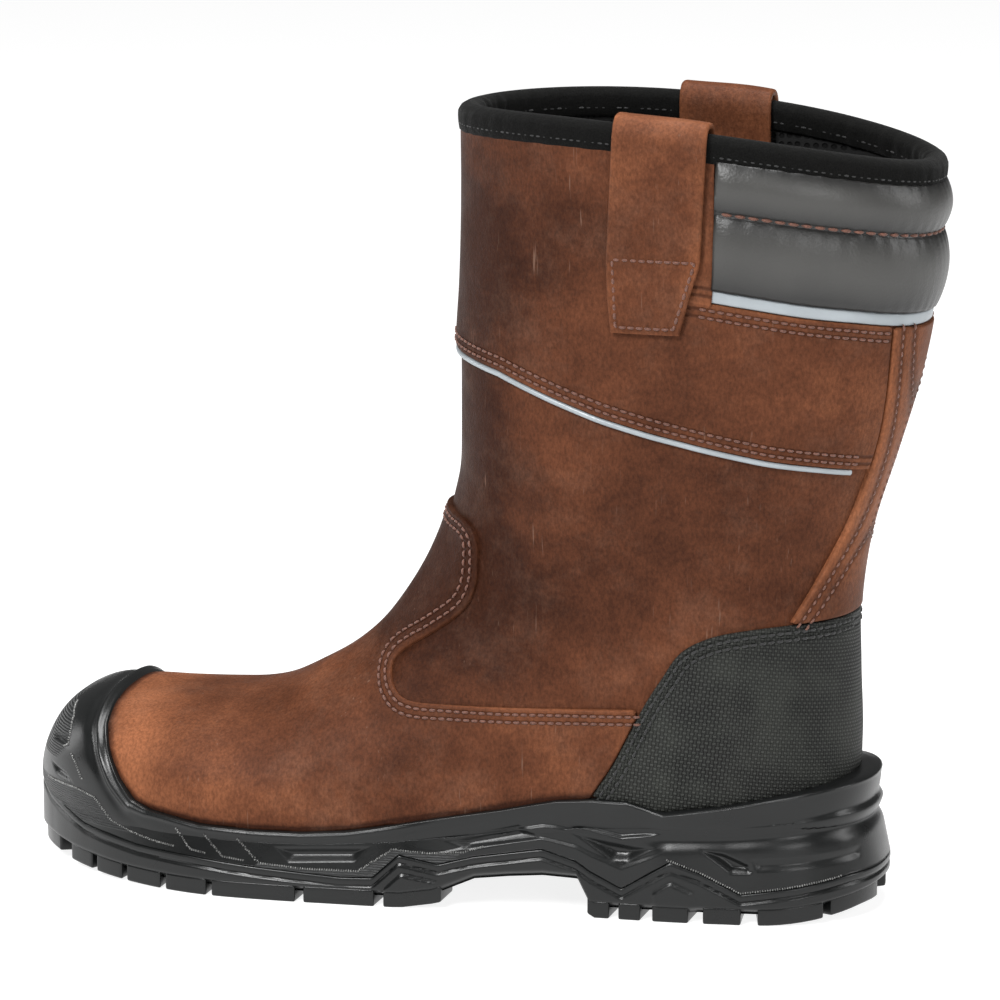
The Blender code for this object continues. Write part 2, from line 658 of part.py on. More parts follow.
def cut_with(obj, cutter, operation="DIFFERENCE"):
    change = obj.modifiers.new(operation.title(), "BOOLEAN")
    change.operation = operation
    change.object = cutter
    cutter.hide_render = True
    cutter.display_type = "WIRE"
    for collection in list(cutter.users_collection):
        collection.objects.unlink(cutter)
    CUTTERS.objects.link(cutter)


def build_midsole():
    """The moulded wall that cups the upper and rises over the toe as a scuff cap."""
    edge, ledge, core = split_rings(JOINT)
    rings = [core, ledge, edge]
    for up, share in WALL_ROWS[1:]:
        ring = []
        for s in STATIONS:
            thin = rim_thickness(s, up)
            proud = thin + (flare(s) - thin) * (share - 0.66) / 0.34
            ring.append(wall_point(s, up, proud))
        rings.append(ring)
    rings.append([wall_point(s, 1.0, -4 * JOINT) for s in STATIONS])
    body = object_from("midsole", ring_loft(rings, turned=2), "midsole")
    foot = bmesh.new()
    grid = form_grid(JOINT)
    verts = [[foot.verts.new(p) for p in row] for row in grid]
    for face in grid_faces(grid):
        foot.faces.new([verts[i][j] for i, j in face])
    foot.faces.new(verts[-1])
    face_outwards(foot)
    cut_with(body, object_from("foot_cutter", foot, "midsole"))
    return body


def lug_block(ring_outer, ring_inner, low, high):
    """A lug between two lines seen from above, from the tread's face at low to inside the plate at high."""
    bm = bmesh.new()
    line = ring_outer + ring_inner[::-1]
    bottom = [bm.verts.new((p.x, p.y, low(p.x))) for p in line]
    top = [bm.verts.new((p.x, p.y, high(p.x))) for p in line]
    bm.faces.new(bottom)
    bm.faces.new(top)
    for j in range(len(line)):
        k = (j + 1) % len(line)
        bm.faces.new((bottom[j], bottom[k], top[k], top[j]))
    bmesh.ops.triangulate(bm, faces=[f for f in bm.faces if len(f.verts) > 4])
    face_outwards(bm)
    return bm


def tread_face(x):
    """The lugs' lower faces: the floor, rising with the tread at toe and heel."""
    return tread_height(x) - TREAD_FLOOR


def into_plate(x):
    return tread_height(x) + 1.2 * MM


def perimeter_lug(stations):
    outer = [level_point(s, flare(s) - LUG_INSET - rounding(s), 0) for s in stations]
    inner = [level_point(s, flare(s) - LUG_INSET - LUG_DEPTH_IN, 0) for s in stations]
    return lug_block(outer, inner, tread_face, into_plate)


def middle_lug(share):
    """A chevron across the middle of the tread."""
    x, y = along(share), 0.02 * BALL_WIDTH
    half, length, sweep = MIDDLE_LUG_SPAN / 2, MIDDLE_LUG_LENGTH, MIDDLE_LUG_SWEEP
    front = [Vector((x + sweep, y - half, 0)), Vector((x, y, 0)), Vector((x + sweep, y + half, 0))]
    back = [p + Vector((length, 0, 0)) for p in front]
    return lug_block(front, back, tread_face, into_plate)


def arch_rib(share):
    """A small rib across the arch."""
    x = along(share)
    reach = 0.62 * BALL_WIDTH / 2
    front = [Vector((x, -reach, 0)), Vector((x, reach, 0))]
    back = [p + Vector((1.6 * ARCH_RIB, 0, 0)) for p in front]
    return lug_block(front, back, lambda x: tread_height(x) - ARCH_RIB, into_plate)


def build_outsole():
    """The tread plate with its zigzag raised edge, and the lugs below."""
    edge, ledge, core = split_rings(0.0)
    lower, sole = [], []
    for s in STATIONS:
        low = level_point(s, flare(s) - rounding(s), 0)
        low.z = tread_height(low.x)
        middle = level_point(s, flare(s) + 0.4 * MM, 0)
        middle.z = min(low.z + 2.2 * MM, (low.z + split_height(middle.x)) / 2)
        lower.append(middle)
        sole.append(low)
    plate = object_from("outsole", ring_loft([sole, lower, edge, ledge, core]), "outsole")
    lugs = []
    for side in (1, -1):
        lugs += [perimeter_lug([side_station(a + (b - a) * k / 2, side) for k in range(3)]) for a, b in SIDE_LUGS]
    lugs += [perimeter_lug([toe_station(a + (b - a) * k / 2) for k in range(3)]) for a, b in TOE_LUGS]
    lugs += [perimeter_lug([heel_station(a + (b - a) * k / 2) for k in range(3)]) for a, b in HEEL_LUGS]
    lugs += [middle_lug(share) for share in MIDDLE_LUGS]
    lugs += [arch_rib(share) for share in ARCH_RIBS]
    for number, lug in enumerate(lugs):
        cut_with(plate, object_from(f"lug_{number:02d}", lug, "outsole", smooth=False), "UNION")
    return plate


def build_upper():
    """Quarters and shaft as one leather wall, open at the collar and underneath, standing on the insole's edge."""
    sheet = trimmed_sheet(0, lambda p: p.z - bed_height(p.x) - INSOLE_THICKNESS - 2 * JOINT)
    return thicken(object_from("upper", sheet, "leather"), UPPER_WALL, outward=False)


INSOLE_LEVELS = (0.3 * MM, 1.5 * MM, INSOLE_THICKNESS)


def build_insole():
    """The foot bed, in the dish of the midsole's floor and under the upper's lower edge."""
    rings = []
    for level in INSOLE_LEVELS:
        ring = []
        for s in STATIONS:
            point = s.centre + s.direction * 0.9 * TOE_RADIUS
            for _ in range(3):
                origin = s.centre + Vector((0, 0, bed_height(point.x) + level))
                point = s.centre + s.direction * (FACETED_LAST.hit(origin, s.direction)[2] - 2 * JOINT)
            point.z = bed_height(point.x) + level
            ring.append(point)
        rings.append(ring)
    return object_from("insole", ring_loft(rings), "insole")


def rim_clear(p):
    """How far a point of the upper lies above the sole's top edge, or behind the toe cap's."""
    return -depth_inside(COVER, p.x, p.z) - 2 * JOINT


def beyond(x_share, z):
    return [(along(x_share), z)]


def build_vamp():
    throat = rounded(VAMP_EDGE, INSTEP_HEIGHT)
    counter = [p for p in rounded(COUNTER_FRONT, COUNTER_HEIGHT) if p.y < throat[-1].y][::-1]
    polygon = outline(throat, counter, beyond(0.70, 0), beyond(-0.1, 0), beyond(-0.1, throat[0].y))
    return overlay("vamp", polygon, LEATHER, "leather_panel", rim_clear)


def build_counter():
    polygon = outline(rounded(COUNTER_FRONT, COUNTER_HEIGHT), beyond(1.2, COUNTER_HEIGHT), beyond(1.2, 0),
                      beyond(0.68, 0))
    return overlay("heel_counter", polygon, FABRIC, "fabric", rim_clear)


def collar_line(x):
    """Height of the shaft's raw top edge at x."""
    points = [surface(LAST_ROW, math.pi * i / 24) for i in range(25)]
    return piecewise([(p.x, p.z) for p in points], x)


def row_at(angle, height_at, first=17.0):
    """The place t on the shaft, at an angle, where the surface crosses a side line."""
    low, high = first, float(LAST_ROW)
    for _ in range(30):
        middle = (low + high) / 2
        p = surface(middle, angle)
        if p.z < height_at(p.x):
            low = middle
        else:
            high = middle
    return (low + high) / 2


def swept(name, profiles, colour, closed):
    """A solid from closed cross-sections, either capped at its two ends or joined into a ring."""
    bm = bmesh.new()
    loops = [[bm.verts.new(p) for p in profile] for profile in profiles]
    count = len(loops[0])
    pairs = list(zip(loops, loops[1:]))
    if closed:
        pairs.append((loops[-1], loops[0]))
    for a, b in pairs:
        for j in range(count):
            k = (j + 1) % count
            bm.faces.new((a[j], a[k], b[k], b[j]))
    if not closed:
        ends = [bm.faces.new(loops[0]), bm.faces.new(loops[-1])]
        bmesh.ops.triangulate(bm, faces=ends)
    face_outwards(bm)
    return object_from(name, bm, colour)


def column_angle(column):
    return 2 * math.pi * column / COLUMNS


def flank_angles(last):
    """The upper's own columns from the dorsal line back, ended at an angle on the outer side of the heel."""
    return [column_angle(c) for c in range(14)] + [last]


def stitch_rows(bm, rows, front=True):
    """Faces between rows of a patch centred on the boot's front or back, with the upper's own diagonals."""
    for low, high in zip(rows, rows[1:]):
        last = len(low) - 1
        for j in range(last):
            if (j >= last / 2) == front:
                bm.faces.new((low[j], low[j + 1], high[j + 1]))
                bm.faces.new((low[j], high[j + 1], high[j]))
            else:
                bm.faces.new((low[j], low[j + 1], high[j]))
                bm.faces.new((low[j + 1], high[j + 1], high[j]))


def angle_at(height_at, x):
    """The angle, on the outer side of the shaft's back half, where a line of a height crosses an x."""
    low, high = math.pi / 2, math.pi
    for _ in range(20):
        middle = (low + high) / 2
        if surface(row_at(middle, height_at), middle).x < x:
            low = middle
        else:
            high = middle
    return (low + high) / 2


def band_foot(x):
    return side_line(BAND_FOOT, x, COLLAR_HEIGHT)


def band_top(x):
    return band_foot(x) + BAND_TOP_RISE


def cuff_foot(x):
    return side_line(CUFF_EDGE, x, COLLAR_HEIGHT)


def counter_top(x):
    return side_line(COUNTER_FRONT[6:], x, COUNTER_HEIGHT)


def backstay_angle(level, gap):
    """Angle of the backstay's front edge at a height, moved forward by a gap."""
    x = piecewise([(z, s) for s, z in BACKSTAY_FRONT], level, COLLAR_HEIGHT, 1.0)
    return angle_at(lambda _: level, along(x) - gap)


PAD_COLUMN = 9           # the column of the upper, behind each pull loop, where band and padding begin
CUFF_ROWS = 4
BACKSTAY_ROWS = 10
BACKSTAY_LIFT = 0.25 * MM      # its columns fall between the upper's, so it stands off a little more


def build_cuff():
    """The leather panel round the top of the shaft; behind the pull loops it ends at the reflective band."""
    def low_line(x):
        return cuff_foot(x) + JOINT / 2

    def high_line(x):
        return band_foot(x) - JOINT / 2

    half = []
    for v in range(CUFF_ROWS + 1):
        share = v / CUFF_ROWS

        def height(x):
            return low_line(x) + (high_line(x) - low_line(x)) * share
        ends_at = height(along(1.03 + 0.02 * share))
        half.append([(row_at(a, height), a) for a in flank_angles(backstay_angle(ends_at, JOINT / 2))])
    grid = [[(t, -a) for t, a in row[:0:-1]] + row for row in half]
    bm = bmesh.new()
    rows = [[bm.verts.new(lifted(t, a, CLEARANCE)) for t, a in row] for row in grid]
    stitch_rows(bm, rows)
    loops = slice(len(half[0]) - 1 - PAD_COLUMN, len(half[0]) + PAD_COLUMN)
    top = rows[-1][loops]
    above = grid[-1][loops]
    upper_rows = [top]
    for v in range(1, CUFF_ROWS + 1):
        row = []
        for t, a in above:
            edge = row_at(a, lambda x: collar_line(x) - BINDING_DEPTH - JOINT)
            row.append(bm.verts.new(lifted(t + (edge - t) * v / CUFF_ROWS, a, CLEARANCE)))
        upper_rows.append(row)
    stitch_rows(bm, upper_rows)
    return thicken(object_from("cuff_panel", bm, "leather_panel"), LEATHER, outward=True)


def build_backstay():
    """The strip up the back of the shaft, from the counter to the reflective band."""
    bm = bmesh.new()
    rows = []
    for v in range(BACKSTAY_ROWS + 1):
        share = v / BACKSTAY_ROWS

        def height(x):
            low = counter_top(x) + JOINT
            return low + (band_foot(x) - JOINT / 2 - low) * share
        edge = backstay_angle(height(along(0.93 + 0.12 * share)), -JOINT / 2)
        near = [edge + (column_angle(15) - edge) * k / 3 for k in range(4)]
        angles = near + [math.pi] + [2 * math.pi - a for a in near[::-1]]
        lift = CLEARANCE + BACKSTAY_LIFT
        rows.append([bm.verts.new(lifted(row_at(a, height, 14.0), a, lift)) for a in angles])
    stitch_rows(bm, rows, front=False)
    return thicken(object_from("backstay", bm, "leather_panel"), LEATHER, outward=True)


def pad_angles():
    """The columns from one pull loop round the back to the other, the end ones a little clear of the cuff."""
    gap = 0.008
    middle = [column_angle(c) for c in range(PAD_COLUMN + 1, COLUMNS - PAD_COLUMN)]
    return [column_angle(PAD_COLUMN) + gap] + middle + [column_angle(COLUMNS - PAD_COLUMN) - gap]


def build_band():
    """The reflective band under the collar padding."""
    profiles = []
    for angle in pad_angles():
        low = row_at(angle, lambda x: band_foot(x) + JOINT / 2)
        high = row_at(angle, lambda x: band_top(x) - JOINT / 2)
        inner, outer = CLEARANCE, CLEARANCE + BAND_THICKNESS
        profiles.append([lifted(low, angle, inner), lifted(high, angle, inner),
                         lifted(high, angle, outer), lifted(low, angle, outer)])
    return swept("reflective_band", profiles, "reflective", closed=False)


PAD_PROFILE = (          # share of the padding's height, share of the way from PAD_SEAM to PAD_CROWN
    (0.00, 0.0), (0.12, 0.75), (0.25, 1.0), (0.40, 0.75), (0.50, 0.0),
    (0.60, 0.75), (0.75, 1.0), (0.90, 0.70), (1.00, 0.0),
)


def build_pad():
    """Collar padding: two quilted rolls from one pull loop round the back to the other."""
    profiles = []
    for angle in pad_angles():
        low = row_at(angle, lambda x: band_top(x) + JOINT / 2)
        high = row_at(angle, lambda x: collar_line(x) - BINDING_DEPTH - JOINT)
        points = [lifted(low, angle, CLEARANCE), lifted((low + high) / 2, angle, CLEARANCE),
                  lifted(high, angle, CLEARANCE)]
        for up, fullness in reversed(PAD_PROFILE):
            proud = PAD_SEAM + (PAD_CROWN - PAD_SEAM) * fullness
            points.append(lifted(low + (high - low) * up, angle, proud))
        profiles.append(points)
    return swept("collar_pad", profiles, "padding", closed=False)


def build_binding():
    """Rolled edging over the collar's raw edge."""
    out, inn = CLEARANCE, -UPPER_WALL - CLEARANCE
    thick = BINDING_THICKNESS
    profiles = []
    for column in range(COLUMNS):
        angle = column_angle(column)
        top = surface(LAST_ROW, angle)
        low = row_at(angle, lambda x: collar_line(x) - BINDING_DEPTH)
        up = (top - surface(LAST_ROW - 0.3, angle)).normalized()
        side = surface_normal(LAST_ROW, angle)
        foot = surface(low, angle)
        foot_side = surface_normal(low, angle)
        profiles.append([
            foot + foot_side * out, foot + foot_side * (out + thick * 0.9), top + side * (out + thick),
            top + side * -UPPER_WALL / 2 + up * (CLEARANCE + thick), top + side * (inn - thick),
            foot + foot_side * (inn - thick * 0.9), foot + foot_side * inn,
            top + side * inn + up * CLEARANCE, top + side * out + up * CLEARANCE,
        ])
    return swept("collar_binding", profiles, "binding", closed=True)


def build_piping():
    """Reflective piping tucked under the cuff panel's lower edge, from backstay to backstay round the front."""
    radius = PIPING_DIAMETER / 2

    def height(x):
        return cuff_foot(x) - JOINT / 2 - 1.1 * radius
    angles = flank_angles(backstay_angle(height(along(1.0)), 2 * JOINT))
    profiles = []
    for angle in [-a for a in angles[:0:-1]] + angles:
        place = row_at(angle, height)
        centre = lifted(place, angle, CLEARANCE + radius)
        out = surface_normal(place, angle)
        up = (surface(place + 0.1, angle) - surface(place - 0.1, angle)).normalized()
        profiles.append([centre + (out * math.cos(a) + up * math.sin(a)) * radius
                         for a in (math.radians(72 * k) for k in range(5))])
    return swept("reflective_piping", profiles, "reflective", closed=False)


def side_hit(x, z, side):
    """The upper's outside at x and z, on the outer side for side 1 and the inner for side -1."""
    origin = Vector((x, -side * 0.2, z))
    point, _, _, _ = LAST.tree.ray_cast(origin, Vector((0, side, 0)))
    return point


def build_loop(name, side):
    """A pull loop: leather strap stitched to the cuff panel, over the collar and down inside the shaft."""
    lift = CLEARANCE + LEATHER + CLEARANCE
    half = LOOP_THICKNESS / 2
    top_z = collar_line(LOOP_FRONT_X + LOOP_WIDTH / 2)
    tip = LOOP_FOOT_Z + LOOP_TIP_LENGTH
    crest = top_z + CLEARANCE + BINDING_THICKNESS + 4 * CLEARANCE + half
    path = (             # height, distance from the shaft's outside
        (LOOP_FOOT_Z, lift + half), (tip, lift + half), ((tip + top_z) / 2, lift + half),
        (top_z - 10 * MM, lift + half + 0.4 * LOOP_STAND_OFF),
        (top_z - 1 * MM, lift + half + LOOP_STAND_OFF), (crest - 1.0 * MM, lift),
        (crest, -UPPER_WALL / 2), (crest - 1.0 * MM, -UPPER_WALL - lift),
        (top_z - 1 * MM, -UPPER_WALL - lift - half - 0.8 * MM),
        (top_z - 12 * MM, -UPPER_WALL - lift - half - 0.3 * MM), (top_z - LOOP_INSIDE, -UPPER_WALL - lift - half),
    )
    bm = bmesh.new()
    rows = []
    for z, proud in path:
        draw = LOOP_TIP_TAPER * max(0.0, (tip - z) / LOOP_TIP_LENGTH) ** 1.5
        follow = max(0.0, min(1.0, (z - tip) / (top_z - tip))) if proud > 0 else 1.0
        row = []
        for k in range(5):
            x = LOOP_FRONT_X + draw * 0.6 + (LOOP_WIDTH - 1.6 * draw) * k / 4 + LOOP_LEAN * follow
            height = z + follow * (collar_line(x) - top_z)
            base = side_hit(x, min(height, collar_line(x) - 1.5 * MM), side)
            row.append(bm.verts.new((x, base.y - side * proud, height)))
        rows.append(row)
    for a, b in zip(rows, rows[1:]):
        for k in range(4):
            bm.faces.new((a[k], a[k + 1], b[k + 1], b[k]))
    obj = object_from(name, bm, "leather_panel")
    solid = thicken(obj, LOOP_THICKNESS, outward=True)
    solid.modifiers["Thickness"].offset = 0
    return obj


def clear_scene():
    for obj in list(bpy.data.objects):
        bpy.data.objects.remove(obj, do_unlink=True)


def centre_on_floor():
    """Moves every piece so that the boot's box stands centred on the origin."""
    bpy.context.view_layer.update()
    graph = bpy.context.evaluated_depsgraph_get()
    low, high = [math.inf] * 3, [-math.inf] * 3
    for obj in BOOT.objects:
        mesh = obj.evaluated_get(graph).to_mesh()
        for v in mesh.vertices:
            for k in range(3):
                low[k] = min(low[k], v.co[k])
                high[k] = max(high[k], v.co[k])
    shift = Vector((-(low[0] + high[0]) / 2, -(low[1] + high[1]) / 2, -low[2]))
    for obj in [*BOOT.objects, *CUTTERS.objects]:
        obj.location = shift
    print("shift", [round(v / MM, 3) for v in shift])


clear_scene()
BOOT = bpy.data.collections.new("rigger_boot")
CUTTERS = bpy.data.collections.new("cutters")
for made_collection in (BOOT, CUTTERS):
    bpy.context.scene.collection.children.link(made_collection)
build_outsole()
build_midsole()
build_insole()
build_upper()
build_vamp()
build_counter()
build_backstay()
build_cuff()
build_band()
build_pad()
build_binding()
build_piping()
build_loop("pull_loop_outer", 1)
build_loop("pull_loop_inner", -1)
centre_on_floor()
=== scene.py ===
"""Rigger boot, left foot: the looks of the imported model, laid out as a Blender add-on.

X runs from the toe (minus) to the heel (plus), the outer side of the foot is at minus Y, and Z is up from
the floor.
Every fine piece is read from the same loft as the solid it stands for, so it lies where that solid is.
Shapes are worked out with X = 0 half way along the outsole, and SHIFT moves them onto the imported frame.
"""
import functools
import math

import bmesh
import bpy
import numpy as np
from bpy.props import FloatProperty, FloatVectorProperty, PointerProperty
from bpy.types import Operator, Panel, PropertyGroup
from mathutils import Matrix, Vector
from mathutils.bvhtree import BVHTree


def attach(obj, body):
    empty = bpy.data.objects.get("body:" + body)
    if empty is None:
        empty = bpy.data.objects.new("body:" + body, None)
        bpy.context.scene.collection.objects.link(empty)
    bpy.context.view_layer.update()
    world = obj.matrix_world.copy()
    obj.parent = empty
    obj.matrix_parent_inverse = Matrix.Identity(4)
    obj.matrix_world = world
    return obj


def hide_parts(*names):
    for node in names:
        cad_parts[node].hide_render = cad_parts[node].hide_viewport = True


bl_info = {
    "name": "Rigger Boot",
    "version": (1, 0, 0),
    "blender": (4, 5, 0),
    "location": "3D View > Sidebar > Rigger Boot",
    "description": "A leather rigger boot on a moulded sole, made piece by piece over its packed model",
    "category": "Add Mesh",
}

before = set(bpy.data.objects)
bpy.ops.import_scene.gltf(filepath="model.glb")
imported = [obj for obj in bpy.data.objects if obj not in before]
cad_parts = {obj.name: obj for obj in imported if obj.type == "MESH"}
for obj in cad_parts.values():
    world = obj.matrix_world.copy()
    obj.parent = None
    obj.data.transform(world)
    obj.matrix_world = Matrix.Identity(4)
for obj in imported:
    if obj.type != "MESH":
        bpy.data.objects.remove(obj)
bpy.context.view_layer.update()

MM = 0.001
SHIFT = np.array((-9.516, 0.461, 0.0)) * MM

# Sizes of the last and the shaft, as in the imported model
LAST_LENGTH = 292.6 * MM
TOE_X = -149 * MM
BALL_WIDTH = 100 * MM
TOE_HEIGHT = 61 * MM
FOREFOOT_STACK = 13.5 * MM
HEEL_STACK = 28 * MM
INSTEP_HEIGHT = 136 * MM
COUNTER_HEIGHT = 103 * MM
COLLAR_HEIGHT = 271 * MM
COLLAR_DEPTH = 163 * MM
COLLAR_WIDTH = 95 * MM
UPPER_WALL = 3 * MM
CLEARANCE = 0.35 * MM
JOINT = 0.3 * MM
INSOLE_THICKNESS = 4 * MM
RIM_THICKNESS = 3.9 * MM
WALL_FLARE = 6.2 * MM
TOE_FLARE = -1.6 * MM
HEEL_FLARE = 8.6 * MM
HEEL_RIM = 4.0 * MM
CAP_EDGE_THICKNESS = 2.6 * MM
SIDE_ROUNDING = 1.8 * MM
END_ROUNDING = 4.0 * MM
TREAD_FLOOR = 3.6 * MM
ARCH_RISE = 9.8 * MM
TOE_SPRING = 4.6 * MM
HEEL_BEVEL = 4.5 * MM
LUG_DEPTH_IN = 15 * MM
LUG_INSET = 0.5 * MM
LUG_ROUNDING = 0.8 * MM
TOE_RADIUS = 46 * MM
HEEL_RADIUS = 37 * MM
FEATHER_RISE = 7 * MM
LOOP_WIDTH = 32 * MM
LOOP_FRONT_X = 66 * MM
LOOP_FOOT_Z = 203 * MM
LOOP_LEAN = 3.5 * MM
LOOP_STAND_OFF = 1.2 * MM
LOOP_INSIDE = 34 * MM
LOOP_TIP_TAPER = 6 * MM
LOOP_TIP_LENGTH = 12 * MM
TOE_SWING = 0.05 * BALL_WIDTH        # how far the sole's middle line swings in at the toe
TOE_ARC = 50 * MM                    # radii at which the sole's side is unrolled round its ends
HEEL_ARC = 46 * MM

# How the fine pieces are cut and laid
BEAD = 0.8 * MM                      # width of a cut panel's rounded edge
BEAD_LEVELS = (0.12 * MM, 0.4 * MM, BEAD)
SKIRT_DEPTH = 0.3 * MM               # how far a panel's edge reaches into the upper
RIM_SHADE_REACH = 2.6 * MM               # height of the painted shade over the sole's edge
SIDE_BLEND = 30 * MM                 # width over which a wave or patch of one side fades out
ON_LINE = 2e-6                       # nearer than this to a cut counts as on it
WELD = 0.01 * MM
PLACE_MISS = 0.8 * MM                # a point further off than this isn't on the outer side
PAD_START = 2 * math.pi * 9 / 32     # angle at which the padding starts, under the pull loop
PAD_GAP = 0.008                      # angle between the padding's end and the cuff panel

# Sections of the upper, a row for each plane. Columns: front_x front_z back_x back_z outer inner widest
# crown base swing bow, as shares of the sizes above: x of LAST_LENGTH, and heights and widths of each
# group's own sizes.
FOREFOOT = (
    (0.000, 0.440, 0.0000, 2.00, 0.000, 0.000, 0.50, 2.00, 2.0, 0.070, 0),
    (0.005, 0.570, 0.0085, 1.44, 0.125, 0.120, 0.50, 2.20, 2.4, 0.070, 0),
    (0.015, 0.700, 0.0270, 1.26, 0.215, 0.200, 0.46, 2.30, 2.8, 0.070, 0),
    (0.034, 0.835, 0.0550, 1.19, 0.305, 0.275, 0.42, 2.40, 3.2, 0.065, 0),
    (0.062, 0.925, 0.0920, 1.11, 0.385, 0.335, 0.40, 2.50, 3.8, 0.060, 0),
    (0.099, 0.960, 0.1400, 1.06, 0.450, 0.385, 0.38, 2.50, 4.4, 0.050, 0),
    (0.154, 0.965, 0.2015, 1.015, 0.500, 0.420, 0.37, 2.45, 5.0, 0.040, 0),
    (0.208, 0.978, 0.2630, 0.985, 0.525, 0.455, 0.36, 2.35, 5.0, 0.030, 0),
    (0.256, 1.003, 0.3315, 0.980, 0.525, 0.465, 0.35, 2.25, 5.0, 0.025, 0),
    (0.300, 1.062, 0.4065, 1.040, 0.510, 0.450, 0.34, 2.20, 5.0, 0.020, 0),
)
WAIST = (
    (0.3450, 0.527, 0.492, 0.590, 0.490, 0.420, 0.34, 2.15, 5.0, 0.015, 0),
    (0.3870, 0.584, 0.595, 0.730, 0.455, 0.380, 0.36, 2.10, 5.0, 0.010, 0),
    (0.4255, 0.656, 0.714, 0.885, 0.430, 0.375, 0.40, 2.10, 5.0, 0.005, 0),
    (0.4575, 0.742, 0.842, 0.975, 0.420, 0.390, 0.44, 2.10, 4.6, 0.000, 0),
    (0.4825, 0.830, 0.938, 1.030, 0.410, 0.400, 0.46, 2.10, 3.6, 0.000, 0),
)
ANKLE = (
    (0.5015, 0.926, 0.985, 0.350, 0.430, 0.420, 0.48, 2.10, 2.7, 0, 0),
    (0.5115, 1.010, 0.995, 0.553, 0.430, 0.430, 0.49, 2.15, 2.3, 0, 0),
)
SHAFT = (
    (0.5190, 0.089, 0.850, -0.125, 0.435, 0.435, 0.50, 2.20, 2.25, 0.000, 0),
    (0.5210, 0.185, 0.845, 0.024, 0.445, 0.445, 0.50, 2.20, 2.25, 0.000, 0),
    (0.5220, 0.304, 0.868, 0.179, 0.455, 0.455, 0.50, 2.20, 2.25, 0.000, 0.004),
    (0.5225, 0.430, 0.914, 0.327, 0.465, 0.465, 0.50, 2.20, 2.25, 0.000, 0.011),
    (0.5265, 0.556, 0.952, 0.476, 0.475, 0.475, 0.50, 2.20, 2.25, -0.004, 0.022),
    (0.5285, 0.689, 0.978, 0.619, 0.485, 0.485, 0.50, 2.15, 2.20, -0.008, 0.033),
    (0.5295, 0.822, 0.987, 0.756, 0.495, 0.495, 0.50, 2.10, 2.20, -0.014, 0.044),
    (0.5295, 0.926, 0.992, 0.845, 0.500, 0.500, 0.50, 2.10, 2.20, -0.018, 0.052),
    (0.5295, 1.000, 0.995, 0.917, 0.500, 0.500, 0.50, 2.10, 2.20, -0.020, 0.055),
)

# Lines seen from the side. x: shares of LAST_LENGTH behind the toe. z: shares of the size named for each.
VAMP_EDGE = (            # z of INSTEP_HEIGHT
    (0.495, 1.000), (0.522, 0.975), (0.546, 0.962), (0.563, 0.925), (0.566, 0.853), (0.562, 0.792),
    (0.548, 0.737), (0.514, 0.677), (0.486, 0.638), (0.469, 0.607), (0.464, 0.574), (0.472, 0.532),
    (0.493, 0.510), (0.550, 0.513), (0.668, 0.525), (0.774, 0.537),
)
COUNTER_FRONT = (        # z of COUNTER_HEIGHT
    (0.700, 0.300), (0.717, 0.411), (0.741, 0.520), (0.774, 0.709), (0.797, 0.817), (0.818, 0.905),
    (0.850, 0.957), (0.890, 0.983), (0.946, 0.998), (1.060, 1.010),
)
BACKSTAY_FRONT = (       # z of COLLAR_HEIGHT
    (0.930, 0.368), (0.963, 0.432), (0.995, 0.507), (1.022, 0.594), (1.037, 0.667), (1.047, 0.760),
)
CUFF_EDGE = (            # z of COLLAR_HEIGHT
    (0.490, 0.712), (0.512, 0.704), (0.536, 0.696), (0.597, 0.684), (0.664, 0.660), (0.727, 0.639),
    (0.786, 0.622), (0.845, 0.608), (0.913, 0.593), (0.968, 0.583), (1.030, 0.570),
)
BAND_FOOT = (            # z of COLLAR_HEIGHT
    (0.780, 0.800), (0.840, 0.792), (0.902, 0.782), (0.958, 0.772), (1.011, 0.764), (1.060, 0.754),
    (1.100, 0.748),
)
BAND_TOP_RISE = 4.6 * MM
RIM_LINE = (             # z of HEEL_STACK
    (0.180, 0.99), (0.246, 0.89), (0.309, 0.865), (0.371, 0.87), (0.425, 0.92), (0.490, 1.04),
    (0.548, 1.16), (0.606, 1.275), (0.675, 1.44), (0.714, 1.48), (0.758, 1.48), (0.788, 1.40),
    (0.800, 1.375), (0.865, 1.475), (0.934, 1.60), (0.987, 1.70), (1.02, 1.74),
)
SPLIT_LINE = (           # z of HEEL_STACK
    (-0.030, 1.03), (-0.006, 1.03), (0.020, 0.85), (0.083, 0.63), (0.164, 0.525), (0.237, 0.49),
    (0.319, 0.42), (0.420, 0.355), (0.460, 0.37), (0.491, 0.675), (0.537, 0.575), (0.578, 0.690),
    (0.659, 0.83), (0.700, 0.70), (0.716, 0.59), (0.754, 0.393), (0.811, 0.76), (0.845, 0.64),
    (0.892, 0.39), (0.960, 0.493), (1.011, 0.59), (1.060, 0.60),
)
CAP_EDGE = (             # z of TOE_HEIGHT
    (0.103, 1.200), (0.104, 0.993), (0.106, 0.916), (0.110, 0.839), (0.123, 0.723), (0.139, 0.607),
    (0.160, 0.492),
)
ARCH_LINE = (            # z of ARCH_RISE
    (0.491, 0.0), (0.537, 0.22), (0.578, 0.76), (0.618, 0.90), (0.659, 1.0), (0.700, 0.95), (0.716, 0.0),
)
WALL_ROWS = ((0.0, 1.00), (0.22, 0.99), (0.28, 0.90), (0.58, 0.86), (0.62, 0.70), (1.0, 0.66))
SIDE_LUGS = (
    (0.055, 0.092), (0.100, 0.140), (0.147, 0.195), (0.202, 0.256), (0.263, 0.366), (0.376, 0.461),
    (0.472, 0.540), (0.713, 0.739), (0.750, 0.776), (0.790, 0.832), (0.849, 0.893),
)
TOE_LUGS = ((-38, -14), (-10, 10), (14, 38))
HEEL_LUGS = ((-74, -44), (-40, -8), (8, 40), (44, 74))
MIDDLE_LUGS = (0.150, 0.215, 0.280, 0.345, 0.410, 0.765, 0.825, 0.885)
